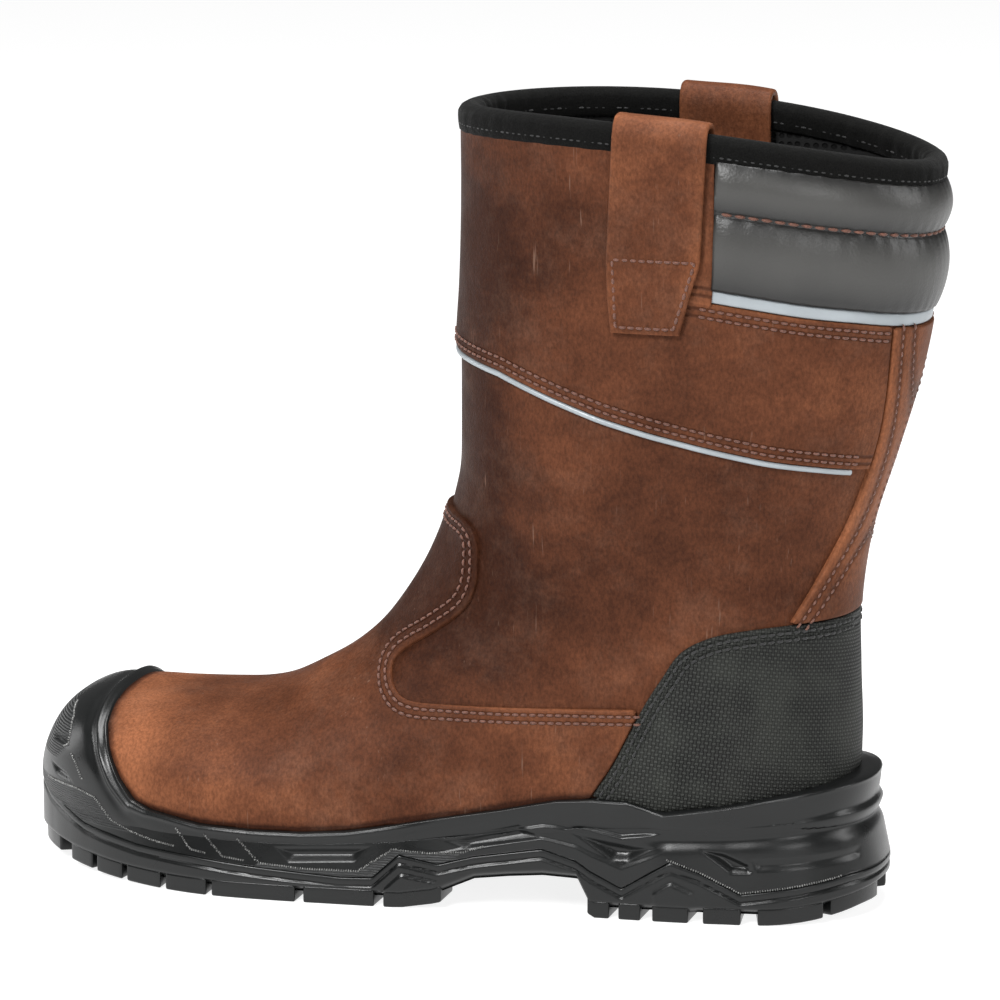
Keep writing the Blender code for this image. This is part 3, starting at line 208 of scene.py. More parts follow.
MIDDLE_LUG_LENGTH = 9 * MM
MIDDLE_LUG_SPAN = 36 * MM
MIDDLE_LUG_SWEEP = 7 * MM
ARCH_RIBS = (0.588, 0.622, 0.656)
ARCH_RIB = 2.4 * MM

# Reliefs of the sole's side. Points: distance along the unrolled side and height, in mm.
RECESSES = (             # outline, depth in mm, softness of its walls in mm
    (((-50, 19.2), (-15, 21.2), (-20.6, 15.0), (-44, 13.6)), 1.6, 3.0),
    (((9, 24.5), (36, 32.0), (45, 27.0), (19, 21.0)), 1.4, 3.2),
    (((53, 30.0), (68, 20.0), (74, 20.0), (84, 25.8), (72, 27.4)), 2.0, 3.6),
    (((97, 26.4), (106, 25.4), (116.5, 21.6), (117.5, 18.0), (109, 17.6)), 2.0, 2.4),
    (((116, 23.4), (160, 25.6), (160, 21.0), (119, 18.6)), 0.8, 3.0),
    (((-152, 45.5), (-139, 47.2), (-136, 43.6), (-150, 42.6)), 1.4, 1.6),
    (((-149, 36.5), (-136, 34.4), (-131, 30.8), (-144, 32.2)), 1.4, 1.6),
)
BEADED = (               # lines of fine beads
    ((-155, 56.3), (-143.3, 53.1), (-138.7, 49.3), (-136.5, 44.5), (-139.5, 43.0)),
    ((-133.5, 41.8), (-129.8, 39.0), (-126.0, 33.8)),
    ((-153, 29.6), (-136, 30.2), (-127.8, 30.0), (-119.5, 28.6), (-115.8, 25.3), (-112, 21.6),
     (-104.1, 18.8), (-95.8, 17.2), (-85.7, 16.2)),
    ((-86, 22.6), (-80, 16.0), (-74, 15.1)),
    ((-75, 21.6), (-68, 14.6), (-60, 13.7)),
    ((-63, 21.2), (-54.5, 13.2), (-38.0, 12.2), (-19.5, 12.4), (-7.5, 20.6), (5.5, 19.8), (17, 20.8),
     (24, 23.2)),
    ((87.0, 22.2), (98.6, 17.8), (110.8, 10.9), (129.2, 13.4), (150, 15.4)),
)
TEXTURED = (             # outlines of the stippled parts of the side
    ((-190, 60.0), (-155, 56.3), (-143.3, 53.1), (-138.7, 49.3), (-136.5, 44.5), (-139, 42.0),
     (-144, 38.0), (-190, 38.0)),
    ((-190, 31.0), (-136, 29.8), (-127.8, 29.6), (-119.5, 28.2), (-115.8, 24.9), (-112, 21.2),
     (-104.1, 18.4), (-190, 18.0)),
    ((-54.5, 13.2), (-38.0, 12.2), (-19.5, 12.4), (-7.5, 20.6), (5.5, 19.8), (17, 20.8), (10, 14.0),
     (-5, 16.0), (-14, 8.0), (-60, 8.0)),
    ((87.0, 22.0), (98.6, 17.6), (110.8, 10.7), (129.2, 13.2), (190, 17.5), (190, 8.0), (108, 4.0)),
)
HEEL_LEDGE = (           # line over which the heel's wall steps in
    (72.8, 41.0), (91.4, 31.6), (98, 31.7), (110.3, 33.6), (139.7, 37.2), (150, 38.4), (200, 40.0),
)
HEEL_DIP = ((88, 28.2), (110, 29.2), (140, 31.6), (200, 33.0))       # hollow line below it
PANELS = (               # raised faces of the largest side lugs on the outsole's wall
    ((-11.8, 5.5), (-4.6, 12.4), (7.4, 10.2), (7.4, 1.0), (-9, 0.0)),
    ((82.4, 10.4), (88.5, 14.4), (96.4, 11.0), (96.8, 0.0), (82.8, 0.0)),
)

# Soft waves of the leather. Columns: side (1 outer, -1 inner, 0 both), x and z in the boot in mm, angle of
# the wave in degrees from level, half length and half width in mm, depth in mm (plus stands out).
WAVES = (
    (0, 22, 118, 62, 30, 9, -1.1), (0, 6, 104, 55, 26, 8, 0.8), (0, 40, 128, 70, 34, 10, 0.7),
    (1, 8, 150, 80, 34, 7, -0.7), (-1, 14, 158, 75, 30, 8, -0.8), (0, -30, 84, 40, 26, 9, -0.6),
    (0, -14, 76, 55, 22, 7, 0.5), (1, 62, 150, 84, 40, 14, 0.7), (1, 88, 148, 88, 40, 13, -0.6),
    (-1, 70, 150, 86, 40, 14, 0.6), (1, 118, 150, 70, 30, 9, 0.5), (0, 104, 112, 20, 30, 7, -0.5),
    (1, 36, 232, 86, 30, 10, -0.5), (1, 84, 196, 5, 30, 9, 0.4), (-1, 50, 205, 60, 30, 10, -0.6),
)
# Lighter (plus) and darker (minus) patches of the leather: some are its own uneven colour, others are
# painted shade on the throat and the shaft's front and a painted highlight on the toe. Columns: side, x, z,
# half length and half height in mm, amount.
TONE_AND_SHADING_PATCHES = (
    (0, -108, 44, 12, 22, 0.75), (0, -92, 34, 34, 10, 0.30), (0, -64, 62, 34, 9, -0.10),
    (0, -70, 44, 40, 14, 0.12), (1, -20, 46, 40, 20, -0.12), (1, 40, 112, 32, 22, -0.45),
    (1, 24, 84, 20, 10, -0.25), (1, 66, 84, 30, 14, 0.22), (0, 8, 160, 22, 44, -0.76),
    (1, 60, 172, 60, 12, -0.10), (1, 110, 140, 26, 24, -0.10), (0, 158, 150, 14, 60, 0.30),
    (0, 12, 236, 34, 34, -0.78), (1, 55, 220, 24, 24, -0.05), (1, 122, 190, 40, 14, 0.02),
    (1, 70, 196, 30, 10, 0.08), (0, 60, 64, 40, 8, 0.25), (0, -5, 112, 24, 24, -0.90),
    (0, -26, 90, 20, 14, -0.42), (-1, 60, 120, 60, 40, -0.20),
)

# Camera and light, measured on the boot in the photograph
CAMERA_AZIMUTH = 16.03
CAMERA_ELEVATION = 11.526
CAMERA_DISTANCE = 1866 * MM
CAMERA_TARGET = (15.92 * MM, 0.0, 133.67 * MM)
CAMERA_LENS = 194.54
SENSOR = 36.0
WORLD_STRENGTH = 0.14
MIDDLE = (0.0, 0.0, 0.12)
LIGHTS = (               # name, place and what it points at in metres, size in metres, power in watts
    ("key_softbox", (-0.6, -1.8, 1.6), MIDDLE, (0.7, 0.7), 50),
    ("front_fill", (1.4, -1.9, 0.9), MIDDLE, (0.5, 0.8), 12),
    ("top_softbox", (0.1, 0.0, 2.0), MIDDLE, (1.2, 0.7), 42),
    ("toe_rim", (-1.9, 0.2, 0.5), (-0.1, 0, 0.05), (0.4, 0.9), 7),
    ("heel_rim", (1.8, 0.2, 0.9), (0.1, 0, 0.1), (0.5, 1.2), 12),
)


def length_property(name, description, millimetres):
    return FloatProperty(name=name, description=description, default=millimetres * MM, unit="LENGTH")


def colour_property(name, description, value):
    return FloatVectorProperty(name=name, description=description, default=value, size=3, min=0, max=1,
                               subtype="COLOR")


class BootSizes(PropertyGroup):
    """Sizes of the boot's finish."""
    leather: length_property("Leather", "Thickness of one cut leather panel", 1.6)
    fabric: length_property("Counter cloth", "Thickness of the heel counter's cloth", 1.4)
    band: length_property("Reflective band", "Thickness of the reflective band", 1.1)
    pad_crown: length_property("Pad crown", "How far the padding's rolls stand off the shaft", 5.2)
    pad_seam: length_property("Pad seam", "How far the padding stands off at its seam and edges", 2.2)
    binding: length_property("Binding", "Thickness of the collar's rolled binding", 1.9)
    binding_depth: length_property("Binding depth", "How far the binding reaches down the collar", 5.5)
    piping: length_property("Piping", "Diameter of the reflective piping", 1.7)
    loop: length_property("Pull loop", "Thickness of a pull loop's strap", 2.2)
    stitch: length_property("Stitch", "Length of one stitch, hole to hole", 3.0)
    thread: length_property("Thread", "Diameter of the sewing thread", 0.95)
    seam_inset: length_property("Seam inset", "First stitch row to the cut edge", 2.3)
    seam_gap: length_property("Seam gap", "Between the two rows of a double seam", 2.6)
    weave: length_property("Weave", "Pitch of the counter's weave", 1.25)
    grain: length_property("Grain", "Size of the leather's pores", 0.9)


class BootColours(PropertyGroup):
    """Colours of the boot's finish."""
    leather: colour_property("Leather", "Waxed brown of the panels", (0.100, 0.034, 0.0155))
    # The dark leather colour is also the colour of the painted shade in the stitch grooves.
    leather_dark: colour_property("Dark leather", "Umber clouds in the leather", (0.032, 0.0100, 0.0046))
    leather_light: colour_property("Stretched leather", "Orange brown where the leather is pulled or cut",
                                   (0.230, 0.083, 0.037))
    wax: colour_property("Wax bloom", "Pale haze on the leather", (0.210, 0.125, 0.088))
    thread: colour_property("Thread", "Brown sewing thread", (0.125, 0.050, 0.032))
    cloth: colour_property("Counter cloth", "Yarn of the heel counter", (0.018, 0.019, 0.017))
    binding: colour_property("Binding", "Nap of the collar's binding", (0.0034, 0.0034, 0.0032))
    lining: colour_property("Lining", "Mesh lining", (0.007, 0.007, 0.007))
    padding: colour_property("Padding", "Coated leather of the collar padding", (0.022, 0.0215, 0.020))
    reflective: colour_property("Reflective", "Reflective band and piping", (0.300, 0.330, 0.350))
    rubber: colour_property("Rubber", "Moulded sole", (0.006, 0.0065, 0.0065))
    floor: colour_property("Floor", "Studio floor", (0.350, 0.350, 0.350))


# The loft of the upper


def along(share):
    """Distance along X of a share of the last."""
    return TOE_X + np.asarray(share, float) * LAST_LENGTH


def real_sections():
    """The section tables, in metres."""
    rows = []
    for group, front_scale, back_scale, width in (
        (FOREFOOT, TOE_HEIGHT, FOREFOOT_STACK, BALL_WIDTH),
        (WAIST, INSTEP_HEIGHT, HEEL_STACK, BALL_WIDTH),
        (ANKLE, INSTEP_HEIGHT, COUNTER_HEIGHT, COLLAR_WIDTH),
    ):
        for fx, fz, bx, bz, outer, inner, widest, crown, base, swing, bow in group:
            rows.append((along(fx), fz * front_scale, along(bx), bz * back_scale,
                         outer * width, inner * width, widest, crown, base, swing * width, bow))
    for fx, fz, bx, bz, outer, inner, widest, crown, base, swing, bow in SHAFT:
        rows.append((along(fx), INSTEP_HEIGHT + fz * (COLLAR_HEIGHT - INSTEP_HEIGHT),
                     along(fx) + bx * COLLAR_DEPTH, COUNTER_HEIGHT + bz * (COLLAR_HEIGHT - COUNTER_HEIGHT),
                     outer * COLLAR_WIDTH, inner * COLLAR_WIDTH, widest, crown, base,
                     swing * COLLAR_WIDTH, bow * COLLAR_WIDTH))
    return np.array(rows, float)


SECTIONS = real_sections()
LAST_ROW = len(SECTIONS) - 1


def spline(before, start, end, after, t):
    """Catmull-Rom value between start and end."""
    b = end - before
    c = 2 * before - 5 * start + 4 * end - after
    d = 3 * (start - end) + after - before
    return (2 * start + b * t + c * t * t + d * t ** 3) / 2


def bare_surface(t, angle):
    """Points of the upper's outside before its waves: section t, angle round it from the dorsal line."""
    t, angle = np.broadcast_arrays(np.asarray(t, float), np.asarray(angle, float))
    i = np.clip(t.astype(int), 0, LAST_ROW - 1)
    rows = [SECTIONS[np.clip(i + k, 0, LAST_ROW)] for k in (-1, 0, 1, 2)]
    values = spline(*rows, (t - i)[..., None])
    values = np.moveaxis(values, -1, 0)
    front_x, front_z, back_x, back_z, outer, inner, widest, crown, base, swing, bow = values
    c, w = np.cos(angle), np.sin(angle)
    power = np.where(c >= 0, crown, base)
    reach = (np.abs(c) ** power + np.abs(w) ** power) ** (-1 / power)
    share = widest + reach * c * np.where(c >= 0, 1 - widest, widest)
    dx, dz = front_x - back_x, front_z - back_z
    length = np.maximum(np.hypot(dx, dz), 1e-9)
    lift = bow * 4 * share * (1 - share)
    half = np.where(w >= 0, outer, inner)
    return np.stack((back_x + dx * share + dz / length * lift, swing - half * reach * w,
                     back_z + dz * share - dx / length * lift), axis=-1)


def unit(vectors):
    return vectors / np.maximum(np.linalg.norm(vectors, axis=-1, keepdims=True), 1e-12)


def surface_normal(t, angle):
    """Outward normals of the upper."""
    step = 0.02
    t = np.clip(t, step, LAST_ROW)
    lengthwise = bare_surface(np.minimum(t + step, LAST_ROW), angle) - bare_surface(t - step, angle)
    around = bare_surface(t, angle + step) - bare_surface(t, angle - step)
    return unit(np.cross(around, lengthwise))


def patches(points, table):
    """Sum of soft oval patches at points. A row: side, x, z, angle, half length, half width, amount."""
    total = np.zeros(points.shape[:-1])
    for side, x, z, angle, length, width, amount in table:
        a = math.radians(angle)
        dx, dz = points[..., 0] / MM - x, points[..., 2] / MM - z
        run, across = dx * math.cos(a) + dz * math.sin(a), dz * math.cos(a) - dx * math.sin(a)
        value = amount * np.exp(-(run / length) ** 2 - (across / width) ** 2)
        if side:
            value = value * np.clip(0.5 - side * points[..., 1] / SIDE_BLEND, 0, 1)
        total += value
    return total


def lifted(t, angle, proud=0.0):
    """Points of the upper's outside, with its waves, raised by proud."""
    base = bare_surface(t, angle)
    rise = patches(base, WAVES) * MM + proud
    return base + surface_normal(t, angle) * rise[..., None]


def tone_and_shading_at(points):
    """How much lighter or darker the leather is, by listed patches: its own uneven colour, painted shade
    and a painted highlight.
    """
    return patches(points, [(*row[:3], 0, *row[3:]) for row in TONE_AND_SHADING_PATCHES])


def side_line(table, x, height):
    """Height at x of a line seen from the side."""
    shares, heights = np.array(table).T
    return np.interp((x - TOE_X) / LAST_LENGTH, shares, heights) * height


def rounded(points, height, steps=8):
    """A side line in metres, drawn as a smooth curve through its points."""
    real = np.array([(along(a), b * height) for a, b in points])
    return smooth_line(real, steps)


def smooth_line(real, steps):
    padded = np.concatenate((real[:1], real, real[-1:]))
    s = np.linspace(0, 1, steps, endpoint=False)[:, None]
    runs = [spline(*padded[i:i + 4], s) for i in range(len(real) - 1)]
    return np.concatenate(runs + [real[-1:]])


def distance_to(line, points):
    """Distance of flat points to a line of flat points."""
    nearest = np.full(points.shape[:-1], np.inf)
    for p, q in zip(line[:-1], line[1:]):
        run = q - p
        length = run @ run
        if length > 0:
            s = np.clip((points - p) @ run / length, 0, 1)
            nearest = np.minimum(nearest, np.linalg.norm(points - p - s[..., None] * run, axis=-1))
    return nearest


def depth_inside(polygon, points):
    """Distance of flat points to a closed outline, positive inside."""
    polygon = np.asarray(polygon, float)
    closed = np.concatenate((polygon, polygon[:1]))
    inside = np.zeros(points.shape[:-1], bool)
    for p, q in zip(closed[:-1], closed[1:]):
        if p[1] != q[1]:
            x = p[0] + (points[..., 1] - p[1]) * (q[0] - p[0]) / (q[1] - p[1])
            inside ^= ((p[1] > points[..., 1]) != (q[1] > points[..., 1])) & (points[..., 0] < x)
    nearest = distance_to(closed, points)
    return np.where(inside, nearest, -nearest)


def side_view(points):
    return points[..., (0, 2)]


def place(line):
    """Section and angle on the outer side at which each side-view point of a line shows."""
    line = np.asarray(line, float)
    rows, angles = np.linspace(0.4, LAST_ROW, 400), np.linspace(0.01, math.pi - 0.01, 120)
    grid_t, grid_a = (g.ravel() for g in np.meshgrid(rows, angles, indexing="ij"))
    grid = side_view(bare_surface(grid_t, grid_a))
    best = [np.argmin(((grid - p) ** 2).sum(axis=1)) for p in line]
    t, a = grid_t[best], grid_a[best]
    step = 0.01
    for _ in range(8):
        here = side_view(bare_surface(t, a))
        by_t = (side_view(bare_surface(np.minimum(t + step, LAST_ROW), a)) - here) / step
        by_a = (side_view(bare_surface(t, a + step)) - here) / step
        miss = line - here
        damping = 2e-7
        tt, aa, ta = (by_t ** 2).sum(1) + damping, (by_a ** 2).sum(1) + damping, (by_t * by_a).sum(1)
        mt, ma = (by_t * miss).sum(1), (by_a * miss).sum(1)
        det = tt * aa - ta * ta
        t = np.clip(t + (mt * aa - ma * ta) / det, 0.3, LAST_ROW)
        a = np.clip(a + (ma * tt - mt * ta) / det, 0.0, math.pi)
    return t, a


def developed(points):
    """Distance along the sole's unrolled side: X between its ends, and on round the toe and the heel."""
    front, back = TOE_X + TOE_RADIUS, TOE_X + LAST_LENGTH - HEEL_RADIUS
    x = points[..., 0]
    middle = TOE_SWING * np.clip((back - x) / (back - front), 0, 1)
    out = np.abs(points[..., 1] - middle)
    round_toe = front - TOE_ARC * np.arctan2(front - x, out)
    round_heel = back + HEEL_ARC * np.arctan2(x - back, out)
    return np.where(x < front, round_toe, np.where(x > back, round_heel, x))


# Meshes


def cut_faces(data, faces, column):
    """Splits the triangles that cross zero of a column of the points' data. Both sides are kept."""
    value = data[:, column]
    value[np.abs(value) < ON_LINE] = 0.0
    sign = np.sign(value)[faces]
    after = np.roll(faces, -1, axis=1)
    crossing = sign * np.roll(sign, -1, axis=1) < 0
    ends = np.sort(np.stack((faces, after), axis=-1), axis=-1)
    pairs, index = np.unique(ends[crossing], axis=0, return_inverse=True)
    a, b = pairs[:, 0], pairs[:, 1]
    share = value[a] / (value[a] - value[b])
    added = data[a] + (data[b] - data[a]) * share[:, None]
    added[:, column] = 0.0
    fresh = np.full(faces.shape, -1)
    fresh[crossing] = len(data) + index.ravel()
    count = crossing.sum(axis=1)
    out = [faces[count == 0]]
    for k in range(3):
        following, last = (k + 1) % 3, (k + 2) % 3
        two = (count == 2) & crossing[:, k] & crossing[:, last]
        lone, b, c = faces[two, k], faces[two, following], faces[two, last]
        p, q = fresh[two, k], fresh[two, last]
        out += [np.stack(three, axis=1) for three in ((lone, p, q), (p, b, c), (p, c, q))]
        one = (count == 1) & crossing[:, k]
        a, b, z, p = faces[one, k], faces[one, following], faces[one, last], fresh[one, k]
        out += [np.stack(three, axis=1) for three in ((z, a, p), (z, p, b))]
    return np.concatenate((data, added)), np.concatenate(out)


def drop_outside(data, faces, column):
    """Keeps the faces whose points all have a column at zero or more, and the points they use."""
    value = data[:, column]
    middle = value[faces].sum(axis=1)
    keep = faces[(value[faces].min(axis=1) >= -1e-9) & (middle > 0)]
    used, index = np.unique(keep, return_inverse=True)
    return data[used], index.reshape(keep.shape)


def halved(a, b, c, d):
    """Two triangles for each four-sided face a b c d."""
    return np.concatenate((np.stack((a, b, c), axis=1), np.stack((a, c, d), axis=1)))


def grid_triangles(rows, columns):
    i, j = np.meshgrid(np.arange(rows - 1), np.arange(columns - 1), indexing="ij")
    a = (i * columns + j).ravel()
    return halved(a, a + 1, a + columns + 1, a + columns)


def ring_faces(rings, count):
    """Faces between closed rings of points."""
    i, j = np.meshgrid(np.arange(rings - 1), np.arange(count), indexing="ij")
    a = (i * count + j).ravel()
    b = (i * count + (j + 1) % count).ravel()
    return halved(a, b, b + count, a + count)


def border(faces):
    """Edges with one face, running as in that face."""
    edges = np.concatenate((faces[:, (0, 1)], faces[:, (1, 2)], faces[:, (2, 0)]))
    _, index, count = np.unique(np.sort(edges, axis=1), axis=0, return_inverse=True, return_counts=True)
    return edges[count[index.ravel()] == 1]


def mesh_object(name, points, faces, materials, attributes=None, slots=None, weld=False):
    """A smooth object from points in the boot's frame, with named values at its points."""
    mesh = bpy.data.meshes.new(name)
    mesh.from_pydata((np.asarray(points) + SHIFT).tolist(), [], np.asarray(faces).tolist())
    for key, values in (attributes or {}).items():
        values = np.asarray(values, np.float32)
        flat = values.ndim == 1
        layer = mesh.attributes.new(key, "FLOAT" if flat else "FLOAT_VECTOR", "POINT")
        layer.data.foreach_set("value" if flat else "vector", values.ravel())
    for material in materials:
        mesh.materials.append(material)
    if slots is not None:
        mesh.polygons.foreach_set("material_index", np.asarray(slots, np.int32))
    mesh.shade_smooth()
    if weld:
        bm = bmesh.new()
        bm.from_mesh(mesh)
        bmesh.ops.remove_doubles(bm, verts=bm.verts, dist=WELD)
        bm.to_mesh(mesh)
        bm.free()
    mesh.update()
    obj = bpy.data.objects.new(name, mesh)
    bpy.context.scene.collection.objects.link(obj)
    return obj


def dress(obj, *nodes, slot=None):
    """The piece rides on the boot and stands for its solids."""
    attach(obj, "root")
    if nodes:
        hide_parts(*nodes)
        slot or nodes[0]
    return obj


def sizes():
    return bpy.context.scene.rigger_boot_sizes


def colours():
    return bpy.context.scene.rigger_boot_colours


def paint(colour, times=1.0):
    """A colour for a node's socket, made lighter or darker."""
    return (*(min(1.0, value * times) for value in colour), 1.0)


# A sheet is a grid of the upper's sections and angles, cut to an outline seen from the side. Its columns:
T, ANGLE, EDGE, CUT = range(4)


def cut_sheet(rows, angles, inside, levels):
    """Points and faces of a sheet, cut to where inside is positive and split along its levels."""
    grid_t, grid_a = np.meshgrid(rows, angles, indexing="ij")
    base = bare_surface(grid_t, grid_a)
    edge = inside(base)
    data = np.stack([v.ravel() for v in (grid_t, grid_a, edge, edge)], axis=1)
    faces = grid_triangles(len(rows), len(angles))
    for level in (0.0, *levels):
        data[:, CUT] = data[:, EDGE] - level
        data, faces = cut_faces(data, faces, CUT)
        if level == 0.0:
            data, faces = drop_outside(data, faces, CUT)
    return data, faces


def edge_rise(depth, bead=BEAD):
    """Share of a panel's thickness reached at a depth from its cut edge: a rounded bead."""
    s = np.clip(1 - depth / bead, 0, 1)
    return 0.45 + 0.55 * np.sqrt(1 - s * s)


def panel(name, rows, angles, inside, thickness, material, sewn, lift=CLEARANCE):
    """A panel laid on the upper, with a rounded edge and a skirt down to it, sewn along some lines."""
    data, faces = cut_sheet(rows, angles, inside, BEAD_LEVELS)
    t, a, depth = data[:, T], data[:, ANGLE], data[:, EDGE]
    top = lifted(t, a, lift + thickness * edge_rise(depth))
    rim = border(faces)
    ring, index = np.unique(rim, return_inverse=True)
    index = index.reshape(rim.shape) + len(top)
    under = index + len(ring)
    low = lifted(t[ring], a[ring], -SKIRT_DEPTH)
    points = np.concatenate((top, top[ring], low))
    skirt = halved(index[:, 1], index[:, 0], under[:, 0], under[:, 1])
    flat = bare_surface(np.concatenate((t, t[ring], t[ring])), np.concatenate((a, a[ring], a[ring])))
    edge = np.min([distance_to(line, side_view(flat)) for line in sewn], axis=0) / MM
    # The finish's values: distance to the seams, the listed patches with their painted shade, cloth places,
    # and painted shade over the sole's edge.
    attributes = {"edge_mm": edge, "tone_and_shading": tone_and_shading_at(flat), "cloth": cloth_places(flat),
                  "rim_shade": soft(1 - over_rim(flat) / RIM_SHADE_REACH)}
    return mesh_object(name, points, np.concatenate((faces, skirt)), [material], attributes)


def cloth_places(points):
    """Places on unrolled cloth: round the boot and up."""
    side = np.where(points[..., 1] > 0, -1.0, 1.0)
    ahead = developed(points) - (TOE_X + LAST_LENGTH - HEEL_RADIUS + HEEL_ARC * math.pi / 2)
    return np.stack((ahead * side, points[..., 2], np.zeros(points.shape[:-1])), axis=-1)


def angle_places(first, last, step):
    return np.linspace(first, last, int(round((last - first) / step)) + 1)


# Threads


def run_along(points):
    """Distance along a line of each of its points."""
    return np.concatenate(((0.0,), np.cumsum(np.linalg.norm(np.diff(points, axis=0), axis=1))))


def read_along(places, run, values):
    """Values of a line's points, read at distances along it."""
    return np.stack([np.interp(places, run, column) for column in values.T], axis=-1)


def thread_along(points, normals, pitch, diameter, length=0.82):
    """Stitches along a line: short threads that arch over the surface and dip into their holes."""
    run = run_along(points)
    count = int(run[-1] / pitch)
    if count < 1:
        return np.zeros((0, 3)), np.zeros((0, 3), int)
    rings, sides = 6, 6
    starts = np.arange(count) * run[-1] / count
    share = np.linspace(0, 1, rings)
    where = starts[:, None] + (share * length + (1 - length) / 2) * pitch
    centre = read_along(where, run, points)
    out = unit(read_along(where, run, normals))
    ahead = unit(np.gradient(centre, axis=1))
    across = unit(np.cross(ahead, out))
    arch = np.sin(share * math.pi) ** 0.6
    centre = centre + out * ((arch * 0.55 - 0.35) * diameter)[None, :, None]
    radius = diameter / 2 * (0.55 + 0.45 * arch)
    turn = np.linspace(0, 2 * math.pi, sides, endpoint=False)[:, None]
    ring = across[:, :, None] * np.cos(turn) + out[:, :, None] * np.sin(turn)
    verts = centre[:, :, None] + ring * radius[None, :, None, None]
    tip = (rings - 1) * sides
    ends = [face for j in range(1, sides - 1) for face in ((0, j + 1, j), (tip, tip + j, tip + j + 1))]
    one = np.concatenate((ring_faces(rings, sides), ends))
    offsets = np.arange(count) * rings * sides
    return verts.reshape(-1, 3), (one[None] + offsets[:, None, None]).reshape(-1, 3)


def joined(parts):
    """One mesh from several (points, faces)."""
    points, faces, count = [], [], 0
    for p, f in parts:
        points.append(p)
        faces.append(f + count)
        count += len(p)
    return np.concatenate(points), np.concatenate(faces)


def dense(line, step):
    """A line with a point at every step."""
    line = np.asarray(line, float)
    run = run_along(line)
    return read_along(np.linspace(0, run[-1], max(2, int(run[-1] / step))), run, line)


def offset_line(line, distance):
    """A flat line moved to its left by a distance, without the points that fold back over it."""
    line = dense(line, 1.0 * MM)
    ahead = unit(np.gradient(line, axis=0))
    moved = line + np.stack((-ahead[:, 1], ahead[:, 0]), axis=1) * distance
    return moved[distance_to(line, moved) > abs(distance) * 0.97]


def on_upper(line, side, proud):
    """Points and normals on the upper, raised by proud, along a line seen from the side."""
    spots = dense(line, 1.2 * MM)
    t, a = place(spots)
    found = np.linalg.norm(side_view(bare_surface(t, a)) - spots, axis=1) < PLACE_MISS
    t, a = t[found], a[found]
    return lifted(t, side * a, proud), surface_normal(t, side * a)


# Finishes


class Finish:
    """One material and the nodes that feed its shader."""

    def __init__(self, name, **values):
        self.material = bpy.data.materials.new(name)
        self.material.use_nodes = True
        self.tree = self.material.node_tree
        self.shader = self.tree.nodes["Principled BSDF"]
        self.set(self.shader, {key.replace("_", " "): value for key, value in values.items()})

    def set(self, node, values):
        for key, value in values.items():
            if isinstance(value, bpy.types.NodeSocket):
                self.tree.links.new(value, node.inputs[key])
            else:
                node.inputs[key].default_value = value

    def add(self, kind, inputs=None, **settings):
        node = self.tree.nodes.new("ShaderNode" + kind)
        for key, value in settings.items():
            setattr(node, key, value)
        self.set(node, inputs or {})
        return node

    def math(self, operation, first, second=0.0, clamp=False):
        return self.add("Math", {0: first, 1: second}, operation=operation, use_clamp=clamp).outputs[0]

    def plus(self, value, more, times):
        return self.math("ADD", value, self.math("MULTIPLY", more, times))

    def times(self, first, second):
        return self.math("MULTIPLY", first, second)

    def mix(self, share, first, second, blend="MIX"):
        node = self.add("Mix", {0: share}, data_type="RGBA", blend_type=blend)
        self.set(node, {6: first, 7: second})
        return node.outputs[2]

    def ramp(self, value, low, high, first=0.0, last=1.0):
        """Straight change from first at low to last at high."""
        return self.add("MapRange", {0: value, 1: low, 2: high, 3: first, 4: last}).outputs[0]

    def where(self):
        return self.add("TexCoord").outputs["Object"]

    def value(self, name):
        return self.add("Attribute", attribute_name=name).outputs["Fac"]

    def vector(self, name):
        return self.add("Attribute", attribute_name=name).outputs["Vector"]

    def stretched(self, vector, scale, turn=(0, 0, 0)):
        return self.add("Mapping", {"Vector": vector, "Scale": scale, "Rotation": turn}).outputs[0]

    def noise(self, vector, size, detail=2.0, roughness=0.5):
        return self.add("TexNoise", {"Vector": vector, "Scale": 1 / size, "Detail": detail,
                                     "Roughness": roughness}).outputs[0]

    def cells(self, vector, size):
        return self.add("TexVoronoi", {"Vector": vector, "Scale": 1 / size}).outputs["Distance"]

    def bump(self, height, depth, below=None):
        inputs = {"Height": height, "Distance": depth, "Strength": 1.0}
        if below is not None:
            inputs["Normal"] = below
        return self.add("Bump", inputs).outputs[0]

    def done(self, colour=None, roughness=None, normal=None):
        for key, value in (("Base Color", colour), ("Roughness", roughness), ("Normal", normal)):
            if value is not None:
                self.set(self.shader, {key: value})
        return self.material


def seam_groove(f, core, width):
    """1 along a double seam's two rows, 0 away from them."""
    s = sizes()
    edge = f.value("edge_mm")
    near = f.math("ABSOLUTE", f.math("SUBTRACT", edge, s.seam_inset / MM))
    far = f.math("ABSOLUTE", f.math("SUBTRACT", edge, (s.seam_inset + s.seam_gap) / MM))
    return f.ramp(f.math("MINIMUM", near, far), core, width, 1.0, 0.0)


